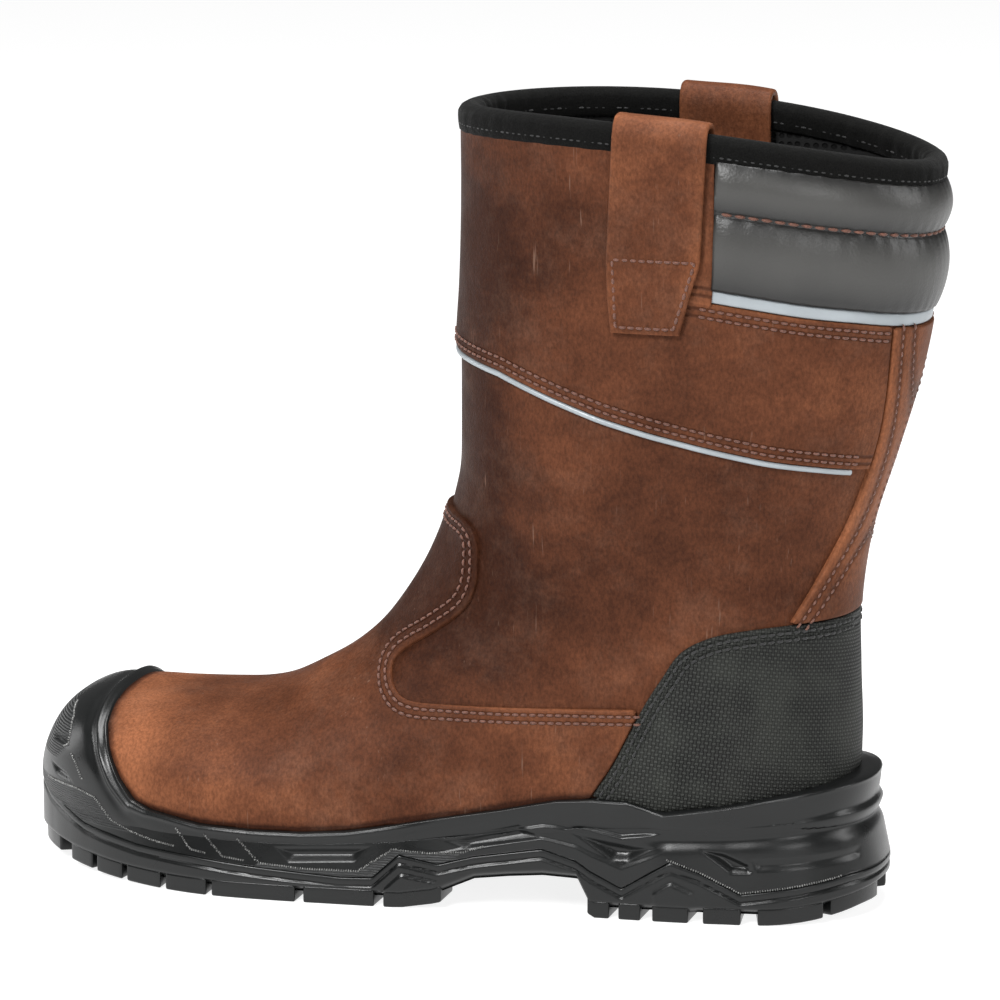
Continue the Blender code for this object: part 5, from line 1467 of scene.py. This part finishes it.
class Last:
    """The upper's outside as a fine mesh for rays, read back on the exact loft."""

    def __init__(self, rows=260, columns=240):
        self.rows = np.linspace(0, LAST_ROW, rows)
        self.angles = np.linspace(0, 2 * math.pi, columns)
        grid_t, grid_a = np.meshgrid(self.rows, self.angles, indexing="ij")
        points = bare_surface(grid_t, grid_a).reshape(-1, 3)
        self.places = np.stack((grid_t.ravel(), grid_a.ravel()), axis=1)
        self.faces = grid_triangles(rows, columns)
        self.tree = BVHTree.FromPolygons(points.tolist(), self.faces.tolist())
        self.points = points

    def hits(self, origins, directions):
        """Section, angle and distance at which each ray leaves the last."""
        found = []
        for origin, direction in zip(origins, directions):
            point, _, index, distance = self.tree.ray_cast(Vector(origin), Vector(direction))
            a, b, c = self.faces[index]
            pa, pb, pc = self.points[a], self.points[b], self.points[c]
            area = np.cross(pb - pa, pc - pa)
            total = area @ area
            here = np.array(point)
            wb = np.cross(here - pa, pc - pa) @ area / total
            wc = np.cross(pb - pa, here - pa) @ area / total
            t, angle = self.places[a] * (1 - wb - wc) + self.places[b] * wb + self.places[c] * wc
            found.append((t, angle, distance))
        return np.array(found)


STATION_STEP = 1.5                   # degrees from one ray to the next round the toe and the heel


class Stations:
    """Rays out from the middle of the foot, all round the sole, with the upper's widest place on each."""

    def __init__(self, last):
        toe = np.radians(np.arange(0, 90, STATION_STEP))
        first, final = TOE_RADIUS / LAST_LENGTH, 1 - HEEL_RADIUS / LAST_LENGTH
        side = along(np.linspace(first, final, 224))
        heel = np.radians(np.arange(90, -1, -STATION_STEP))[1:]
        toe_x, heel_x = float(along(first)), float(along(final))
        centres, directions = [], []
        for a in toe:
            centres.append((toe_x, TOE_SWING, 0))
            directions.append((-math.cos(a), -math.sin(a), 0))
        for x in side:
            centres.append((x, TOE_SWING * (heel_x - x) / (heel_x - toe_x), 0))
            directions.append((0, -1, 0))
        for a in heel:
            centres.append((heel_x, 0, 0))
            directions.append((math.cos(a), -math.sin(a), 0))
        centres, directions = np.array(centres, float), np.array(directions, float)
        mirrored = directions * (1, -1, 1)
        self.centre = np.concatenate((centres, centres[-2:0:-1]))
        self.direction = np.concatenate((directions, mirrored[-2:0:-1]))
        self.last = last
        self.height = bed_height(self.centre[:, 0] + self.direction[:, 0] * TOE_RADIUS) + FEATHER_RISE
        self.origin = self.centre + np.stack((0 * self.height, 0 * self.height, self.height), axis=1)
        self.radius = last.hits(self.origin, self.direction)[:, 2]
        low, high = np.zeros(len(self.height)), np.full(len(self.height), math.radians(85))
        for _ in range(14):
            middle = (low + high) / 2
            found = last.hits(self.origin, self.raised(middle))
            covered = depth_inside(COVER, side_view(bare_surface(found[:, 0], found[:, 1]))) > 0
            low, high = np.where(covered, middle, low), np.where(covered, high, middle)
        self.edge = low
        self.forward = np.maximum(0.0, -self.direction[:, 0])
        self.back = np.maximum(0.0, self.direction[:, 0])
        self.flare = WALL_FLARE + TOE_FLARE * self.forward + HEEL_FLARE * self.back ** 1.5
        self.rounding = SIDE_ROUNDING + (END_ROUNDING - SIDE_ROUNDING) * self.direction[:, 0] ** 2
        self.rise = self.radius * np.sin(self.edge)

    def raised(self, angle):
        up = np.stack((0 * angle, 0 * angle, np.sin(angle)), axis=1)
        return self.direction * np.cos(angle)[:, None] + up

    def rim_thickness(self, up):
        thinned = (RIM_THICKNESS - CAP_EDGE_THICKNESS) * np.minimum(1.0, 2 * self.forward) * up ** 3
        return RIM_THICKNESS - thinned + HEEL_RIM * self.back ** 1.5

    def out(self, proud):
        return self.centre + self.direction * (self.radius + proud)[:, None]

    def wall(self, up):
        """Points of the upper behind the wall and the wall's direction out, at a share of its height."""
        foot = side_line(SPLIT_LINE, self.out(self.flare)[:, 0], HEEL_STACK)
        level = foot + up * (self.height + self.rise - foot)
        over = np.clip((level - self.height) / np.maximum(self.rise, 1e-6), 0, 1) * np.sin(self.edge)
        found = self.last.hits(self.origin, self.raised(np.arcsin(over)))
        high = bare_surface(found[:, 0], found[:, 1])
        normal = surface_normal(found[:, 0], found[:, 1])
        low = self.out(0.0)
        low[:, 2] = level
        below = (level <= self.height)[:, None]
        return np.where(below, low, high), np.where(below, self.direction, normal)


def soft(value):
    """Smooth step from 0 to 1."""
    value = np.clip(value, 0, 1)
    return value * value * (3 - 2 * value)


def side_relief(flat):
    """How far the sole's side sinks into its plain wall, in mm. flat: unrolled places in mm."""
    total = np.zeros(flat.shape[:-1])
    for outline, depth, softness in RECESSES:
        total -= depth * soft(depth_inside(outline, flat) / softness)
    return total


@functools.cache
def sole_stations():
    """The stations, worked out once."""
    return Stations(Last())


# Shares of the wall's height at which the midsole has points, and how the forefoot's wall thins with them
MIDSOLE_UPS = np.concatenate((np.linspace(0, 0.96, 76), (0.972, 0.982, 0.990, 0.996, 1.0)))
FRONT_WALL = (0.0, 0.30, 0.86, 1.0), (1.0, 0.66, 0.05, 0.0)


def wall_profile(stations, up, flat, depth):
    """How far the midsole's side stands off the upper. depth: distance below the sole's top edge, in mm."""
    thin = stations.rim_thickness(up)
    ups, shares = np.array(WALL_ROWS).T
    share = np.interp(up, ups, shares)
    proud = thin + (stations.flare - thin) * (share - 0.66) / 0.34
    heel = soft((flat[:, 0] - 78) / 10)
    ledge = np.interp(flat[:, 0], *np.array(HEEL_LEDGE).T)
    dip = np.interp(flat[:, 0], *np.array(HEEL_DIP).T)
    over_ledge = soft((flat[:, 1] - ledge) / 1.8 + 0.5)
    full = thin + (stations.flare - thin) * (1 - 0.55 * np.minimum(up / 0.6, 1.0))
    heel_proud = full + (thin + 1.0 * MM - full) * over_ledge
    heel_proud = heel_proud - 1.2 * MM * np.exp(-((flat[:, 1] - dip) / 2.4) ** 2) * (1 - over_ledge)
    heel_proud = heel_proud + 0.3 * MM * soft(1 - depth / 1.6)
    front_proud = thin + (stations.flare - thin) * np.interp(up, *FRONT_WALL)
    side = proud + (front_proud - proud) * soft((30 - flat[:, 0]) / 40)
    toe = soft((-92 - flat[:, 0]) / 22)
    crest, width, height = 1.3 + 1.5 * toe, 0.8 + 0.5 * toe, 0.55 + 0.75 * toe
    bead = height * np.exp(-((depth - crest) / width) ** 2) * soft((12 - flat[:, 0]) / 30)
    bead = bead - 0.55 * toe * np.exp(-((depth - 5.6) / 1.6) ** 2)
    return side + (heel_proud - side) * heel + bead * MM


class RIGGER_OT_midsole(Operator):
    """Moulded wall that cups the upper and rises over the toe as a scuff cap"""
    bl_idname = "rigger_boot.midsole"
    bl_label = "Midsole and toe cap"

    def execute(self, context):
        stations = sole_stations()
        count = len(stations.height)
        rings, flats, textures = [], [], []
        split = stations.out(stations.flare - 3.0 * MM)
        split[:, 2] = side_line(SPLIT_LINE, stations.out(stations.flare)[:, 0], HEEL_STACK) + JOINT
        for up in MIDSOLE_UPS:
            base, normal = stations.wall(up)
            level = base[:, 2] + normal[:, 2] * 4 * MM
            flat = np.stack((developed(base + normal * 5 * MM), level), axis=1) / MM
            depth = depth_inside(COVER, side_view(base)) / MM
            proud = wall_profile(stations, up, flat, depth)
            proud = proud + side_relief(flat) * MM
            proud = proud - 0.8 * MM * soft((up - 0.985) / 0.015)
            rings.append(base + normal * proud[:, None])
            textures.append(np.max([soft(depth_inside(o, flat) / 1.2 + 0.3) for o in TEXTURED], axis=0))
            flats.append(flat)
        base, normal = stations.wall(1.0)
        rim = stations.rim_thickness(1.0)[:, None]
        inner = [base + normal * (rim * share) for share in (0.55, 0.1, -0.3)]
        foot = rings[0].copy()
        foot[:, 2] += JOINT
        rings = [split, foot] + rings[1:] + inner
        textures = [textures[0]] * 2 + textures[1:] + [0 * textures[0]] * 3
        points = np.concatenate(rings)
        attributes = {"texture": np.concatenate(textures), "cloth": unrolled(points)}
        obj = mesh_object("midsole_and_cap", points, ring_faces(len(rings), count),
                          [finish("sole_rubber", rubber_finish)], attributes)
        dress(obj, "midsole")
        place_beads(np.stack(rings[2:-3]), np.stack(flats[1:]))
        return {"FINISHED"}


def unrolled(points):
    """Places on the sole's unrolled side, for its texture."""
    return np.stack((developed(points), points[:, 2], 0 * points[:, 2]), axis=1)


def place_beads(grid, flats):
    """Rows of fine beads on both sides of the midsole, found on its grid of points."""
    normals = unit(np.cross(np.gradient(grid, axis=1), np.gradient(grid, axis=0)))
    parts = []
    count = grid.shape[1]
    for first, last in ((0, count // 2 + 1), (count // 2, count)):
        g, n, f = (v[:, first:last].reshape(-1, v.shape[-1]) for v in (grid, normals, flats))
        for line in BEADED:
            spots = dense(line, 0.5)
            near = [np.argsort(((f - p) ** 2).sum(axis=1))[:4] for p in spots]
            weight = np.array([1 / (((f[k] - p) ** 2).sum(axis=1) + 0.02) for k, p in zip(near, spots)])
            weight /= weight.sum(axis=1, keepdims=True)
            points = (g[near] * weight[..., None]).sum(axis=1)
            out = unit((n[near] * weight[..., None]).sum(axis=1))
            parts.append(thread_along(points, out, 0.85 * MM, 0.75 * MM, length=0.6))
    points, faces = joined(parts)
    obj = mesh_object("midsole_beads", points, faces, [finish("bead_rubber", bead_finish)])
    dress(obj, slot="midsole")


def tread_height(x):
    """The outsole's underside between its lugs."""
    s = (x - TOE_X) / LAST_LENGTH
    toe = np.maximum(0.0, (0.25 - s) / 0.27) ** 2
    heel = np.minimum(np.maximum(0.0, (s - 0.90) / 0.12) ** 2, 1.0)
    arch = np.interp(s, *np.array(ARCH_LINE).T)
    return TREAD_FLOOR + ARCH_RISE * arch + TOE_SPRING * toe + HEEL_BEVEL * heel


def lug_mesh(outer, inner, low, high):
    """A lug between two lines seen from above, with its lower edges rounded."""
    line = np.concatenate((outer, inner[::-1]))
    bm = bmesh.new()
    bottom = [bm.verts.new((x, y, low(x))) for x, y in line[:, :2]]
    top = [bm.verts.new((x, y, high(x))) for x, y in line[:, :2]]
    bm.faces.new(bottom[::-1])
    bm.faces.new(top)
    for j in range(len(line)):
        k = (j + 1) % len(line)
        bm.faces.new((bottom[j], bottom[k], top[k], top[j]))
    bmesh.ops.recalc_face_normals(bm, faces=bm.faces)
    corners = [e for e in bm.edges if e.calc_face_angle(0) > 0.9]
    bmesh.ops.bevel(bm, geom=corners, offset=LUG_ROUNDING, segments=3, profile=0.6, affect="EDGES",
                    clamp_overlap=True)
    bmesh.ops.triangulate(bm, faces=bm.faces)
    points = np.array([v.co[:] for v in bm.verts])
    points[:, 2] = np.maximum(points[:, 2], 0.0)
    faces = np.array([[v.index for v in f.verts] for f in bm.faces])
    bm.free()
    return points, faces


def station_window(stations, first, last):
    """Evenly spaced places among the outer side's stations, between two shares of the last."""
    half = len(stations.height) // 2 + 1
    shares = (stations.out(stations.flare)[:half, 0] - TOE_X) / LAST_LENGTH
    return np.interp(np.linspace(first, last, 7), shares, np.arange(half))


def plan_line(stations, places, proud, side):
    """Points level with the floor on the sole's outline grown by proud, at places among the stations."""
    outline = stations.out(stations.flare + proud)
    count = len(outline)
    index = places if side > 0 else (count - places) % count
    low = np.floor(index).astype(int)
    share = (index - low)[:, None]
    return outline[low % count] * (1 - share) + outline[(low + 1) % count] * share


def tread_lugs(stations):
    """All lugs of the tread: those on the rim, the chevrons in the middle and the ribs of the arch."""
    count = len(stations.height)
    parts = []

    def low(x):
        return float(tread_height(x)) - TREAD_FLOOR

    def rib_low(x):
        return float(tread_height(x)) - ARCH_RIB

    def high(x):
        return float(tread_height(x)) + 2.4 * MM
    spans = [(station_window(stations, a, b), side) for a, b in SIDE_LUGS for side in (1, -1)]
    spans += [(np.linspace(a, b, 7) / STATION_STEP % count, 1) for a, b in TOE_LUGS]
    spans += [(count // 2 + np.linspace(b, a, 7) / -STATION_STEP, 1) for a, b in HEEL_LUGS]
    for places, side in spans:
        rounding = float(np.interp(np.mean(places) % count, np.arange(count), stations.rounding))
        outer = plan_line(stations, places, 0.3 * MM - 0.45 * rounding, side)
        inner = plan_line(stations, places, -LUG_INSET - LUG_DEPTH_IN, side)
        parts.append(lug_mesh(outer, inner, low, high))
    for share in MIDDLE_LUGS:
        x, y = float(along(share)), 0.02 * BALL_WIDTH
        span, sweep = MIDDLE_LUG_SPAN / 2, MIDDLE_LUG_SWEEP
        front = np.array([(x + sweep, y - span), (x, y), (x + sweep, y + span)])
        parts.append(lug_mesh(front, front + (MIDDLE_LUG_LENGTH, 0), low, high))
    for share in ARCH_RIBS:
        x, reach = float(along(share)), 0.62 * BALL_WIDTH / 2
        front = np.array([(x, -reach), (x, reach)])
        parts.append(lug_mesh(front, front + (1.6 * ARCH_RIB, 0), rib_low, high))
    return parts


class RIGGER_OT_outsole(Operator):
    """Tread plate with its zigzag edge, and the lugs below"""
    bl_idname = "rigger_boot.outsole"
    bl_label = "Outsole and lugs"

    def execute(self, context):
        stations = sole_stations()
        split = side_line(SPLIT_LINE, stations.out(stations.flare)[:, 0], HEEL_STACK)
        floor = tread_height(stations.out(stations.flare - stations.rounding)[:, 0])
        rings = []
        for inset in (60, 30, 12, 4, 1):
            proud = stations.flare - stations.rounding - inset * MM
            ring = stations.out(np.maximum(-stations.radius * 0.96, proud))
            ring[:, 2] = tread_height(ring[:, 0])
            rings.append(ring)
        for share in np.linspace(0, 1, 26):
            level = floor + (split - floor) * share
            below = (split - level) / MM
            inset = (stations.rounding + 1.4 * MM * soft(1 - (level - floor) / (2.6 * MM))) / MM
            inset = inset * (1 - soft((level - floor) / (3.4 * MM)))
            groove = 0.65 * np.exp(-((below - 3.1) / 0.55) ** 2)
            groove = groove - 0.12 * soft(1 - np.abs(below - 1.4) / 1.4)
            flat = np.stack((developed(stations.out(stations.flare - inset * MM)), level), axis=1) / MM
            raised = np.max([soft(depth_inside(o, flat) / 0.8) for o in PANELS], axis=0)
            proud = stations.flare - (inset + groove - 0.9 * raised) * MM
            ring = stations.out(proud - 0.45 * MM * soft(1 - below / 0.35))
            ring[:, 2] = level
            rings.append(ring)
        ring = stations.out(stations.flare - 3.2 * MM)
        ring[:, 2] = split - 0.1 * MM
        rings.append(ring)
        tread = np.concatenate(rings), ring_faces(len(rings), len(stations.height))
        points, faces = joined([tread, *tread_lugs(stations)])
        attributes = {"texture": np.zeros(len(points)), "cloth": unrolled(points)}
        obj = mesh_object("outsole_and_lugs", points, faces, [finish("sole_rubber", rubber_finish)],
                          attributes)
        obj.data.set_sharp_from_angle(angle=math.radians(52))
        dress(obj, "outsole")
        return {"FINISHED"}


class RIGGER_OT_insole(Operator):
    """Foot bed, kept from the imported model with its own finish"""
    bl_idname = "rigger_boot.insole"
    bl_label = "Insole"

    def execute(self, context):
        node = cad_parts["insole"]
        node.data.materials.clear()
        node.data.materials.append(finish("insole_felt", felt_finish))
        return {"FINISHED"}


# Stitching


BLACK_THREAD = (0.012, 0.012, 0.012)
BOX_INSET = 2.2 * MM                 # the pull loop's stitched box to its edges
BOX_TOP = 228 * MM


def double_rows(line, turn=1.0):
    s = sizes()
    return [offset_line(line, turn * s.seam_inset), offset_line(line, turn * (s.seam_inset + s.seam_gap))]


def seam_lines():
    """Brown double rows seen from the side: vamp, cuff, band and backstay."""
    cuff = side_run(cuff_foot, along(0.46), along(1.005))
    band = side_run(band_foot, LOOP_FRONT_X + LOOP_WIDTH, along(1.045))
    stay = rounded(BACKSTAY_FRONT, COLLAR_HEIGHT)[2:]
    vamp = rounded(VAMP_EDGE, INSTEP_HEIGHT)
    return double_rows(vamp, -1) + double_rows(cuff) + double_rows(band, -1) + double_rows(stay, -1)


class RIGGER_OT_stitching(Operator):
    """All sewn rows: panels, counter, padding, binding and pull loops"""
    bl_idname = "rigger_boot.stitching"
    bl_label = "Stitching"

    def execute(self, context):
        s = sizes()
        proud = CLEARANCE + s.leather
        brown, black = [], []
        for side in (1, -1):
            for line in seam_lines():
                brown.append(thread_along(*on_upper(line, side, proud), s.stitch, s.thread))
            for line in double_rows(rounded(COUNTER_FRONT, COUNTER_HEIGHT)[2:], -1):
                black.append(thread_along(*on_upper(line, side, CLEARANCE + s.fabric), s.stitch, s.thread))
            brown.append(self.loop_box(side))
        brown.append(self.pad_seam())
        black += self.binding_rows()
        for name, parts, colour, slot in (("brown", brown, colours().thread, "cuff_panel"),
                                          ("black", black, BLACK_THREAD, "collar_binding")):
            points, faces = joined(parts)
            thread = finish(f"{name}_thread", thread_finish, colour)
            dress(mesh_object(f"{name}_stitching", points, faces, [thread]), slot=slot)
        return {"FINISHED"}

    def pad_seam(self):
        """Twisted stitches along the seam between the padding's two rolls."""
        s = sizes()
        angles = padded_angles(0.03, 0.01)
        low = shaft_row(angles, band_top)
        high = shaft_row(angles, lambda x: collar_line(x) - s.binding_depth)
        t = (low + high) / 2
        points = lifted(t, angles, np.full(len(angles), s.pad_seam - 0.1 * MM))
        return thread_along(points, surface_normal(t, angles), PUCKER_PITCH, 1.3 * MM)

    def binding_rows(self):
        """The binding's stitch line, outside and inside."""
        s = sizes()
        angles = np.linspace(0, 2 * math.pi, 500)
        t = shaft_row(angles, lambda x: collar_line(x) - 0.84 * s.binding_depth)
        normals = surface_normal(t, angles)
        reach = CLEARANCE + 1.02 * s.binding
        rows = []
        for proud, turn in ((reach, 1), (-UPPER_WALL - reach, -1)):
            points = lifted(t, angles, np.full(len(angles), proud))
            rows.append(thread_along(points, normals * turn, 2.6 * MM, 0.6 * MM))
        return rows

    def loop_box(self, side):
        """Stitched box at the foot of a pull loop."""
        s = sizes()
        lift = 2 * CLEARANCE + s.leather + s.loop
        x0, x1 = LOOP_FRONT_X + BOX_INSET, LOOP_FRONT_X + LOOP_WIDTH - BOX_INSET
        foot = LOOP_FOOT_Z + BOX_INSET
        start = (x0 + 1.3 * MM, BOX_TOP)
        corners = np.array((start, (x0 + 0.35 * LOOP_TIP_TAPER, foot), (x1 - LOOP_TIP_TAPER, foot),
                            (x1 + 1.3 * MM, BOX_TOP), start))
        return thread_along(*on_upper(corners, side, lift), 2.9 * MM, s.thread)


# Stage


def aim(obj, target):
    obj.rotation_euler = (Vector(target) - obj.location).to_track_quat("-Z", "Y").to_euler()


def softbox(name, place_at, target, size, power):
    light = bpy.data.lights.new(name, "AREA")
    light.shape = "RECTANGLE"
    light.size, light.size_y = size
    light.energy = power
    obj = bpy.data.objects.new(name, light)
    obj.location = place_at
    bpy.context.scene.collection.objects.link(obj)
    aim(obj, target)


class RIGGER_OT_stage(Operator):
    """Pale floor, soft studio light and the camera at the photograph's angle"""
    bl_idname = "rigger_boot.stage"
    bl_label = "Stage, light and camera"

    def execute(self, context):
        e, a = math.radians(CAMERA_ELEVATION), math.radians(CAMERA_AZIMUTH)
        ahead = Vector((-math.sin(a) * math.cos(e), math.cos(a) * math.cos(e), -math.sin(e)))
        target = Vector(CAMERA_TARGET) + Vector(SHIFT)
        lens = bpy.data.cameras.new("camera")
        lens.lens, lens.sensor_width = CAMERA_LENS, SENSOR
        lens.clip_end = 60
        camera = bpy.data.objects.new("camera", lens)
        camera.location = target - ahead * CAMERA_DISTANCE
        camera.rotation_euler = ahead.to_track_quat("-Z", "Y").to_euler()
        context.scene.collection.objects.link(camera)
        context.scene.camera = camera
        bpy.ops.mesh.primitive_grid_add(x_subdivisions=40, y_subdivisions=40, size=14, location=(0, 0, 0))
        floor = context.object
        floor.name = "studio_floor"
        floor.data.materials.append(finish("studio_paper", floor_finish))
        world = bpy.data.worlds.new("studio")
        world.use_nodes = True
        sky = world.node_tree.nodes["Background"].inputs
        sky["Color"].default_value = (1, 1, 1, 1)
        sky["Strength"].default_value = WORLD_STRENGTH
        context.scene.world = world
        context.scene.view_settings.view_transform = "Standard"
        for light in LIGHTS:
            softbox(*light)
        return {"FINISHED"}


PIECES = (
    ("upper", "Upper and lining"), ("vamp", "Vamp"), ("heel_counter", "Heel counter"),
    ("backstay", "Backstay"), ("cuff", "Cuff panel"), ("collar_pad", "Collar padding"),
    ("reflective", "Reflective trim"), ("binding", "Collar binding"), ("pull_loops", "Pull loops"),
    ("midsole", "Midsole and toe cap"), ("outsole", "Outsole and lugs"), ("insole", "Insole"),
    ("stitching", "Stitching"), ("stage", "Stage, light and camera"),
)


class RIGGER_PT_panel(Panel):
    """Lists the boot's pieces, sizes and colours"""
    bl_idname = "RIGGER_PT_panel"
    bl_label = "Rigger Boot"
    bl_space_type = "VIEW_3D"
    bl_region_type = "UI"
    bl_category = "Rigger Boot"

    def draw(self, context):
        column = self.layout.column(align=True)
        for name, label in PIECES:
            column.operator(f"rigger_boot.{name}", text=label)
        for group in (context.scene.rigger_boot_sizes, context.scene.rigger_boot_colours):
            box = self.layout.box()
            for key in group.__annotations__:
                box.prop(group, key)


CLASSES = (
    BootSizes, BootColours, RIGGER_OT_upper, RIGGER_OT_vamp, RIGGER_OT_counter, RIGGER_OT_backstay,
    RIGGER_OT_cuff, RIGGER_OT_collar_pad, RIGGER_OT_reflective, RIGGER_OT_binding, RIGGER_OT_pull_loops,
    RIGGER_OT_midsole, RIGGER_OT_outsole, RIGGER_OT_insole, RIGGER_OT_stitching, RIGGER_OT_stage,
    RIGGER_PT_panel,
)


def register():
    for cls in CLASSES:
        bpy.utils.register_class(cls)
    bpy.types.Scene.rigger_boot_sizes = PointerProperty(type=BootSizes)
    bpy.types.Scene.rigger_boot_colours = PointerProperty(type=BootColours)


def unregister():
    del bpy.types.Scene.rigger_boot_colours
    del bpy.types.Scene.rigger_boot_sizes
    for cls in reversed(CLASSES):
        bpy.utils.unregister_class(cls)


def main():
    register()
    for name, _ in PIECES:
        getattr(bpy.ops.rigger_boot, name)()


if __name__ == "__main__":
    main()
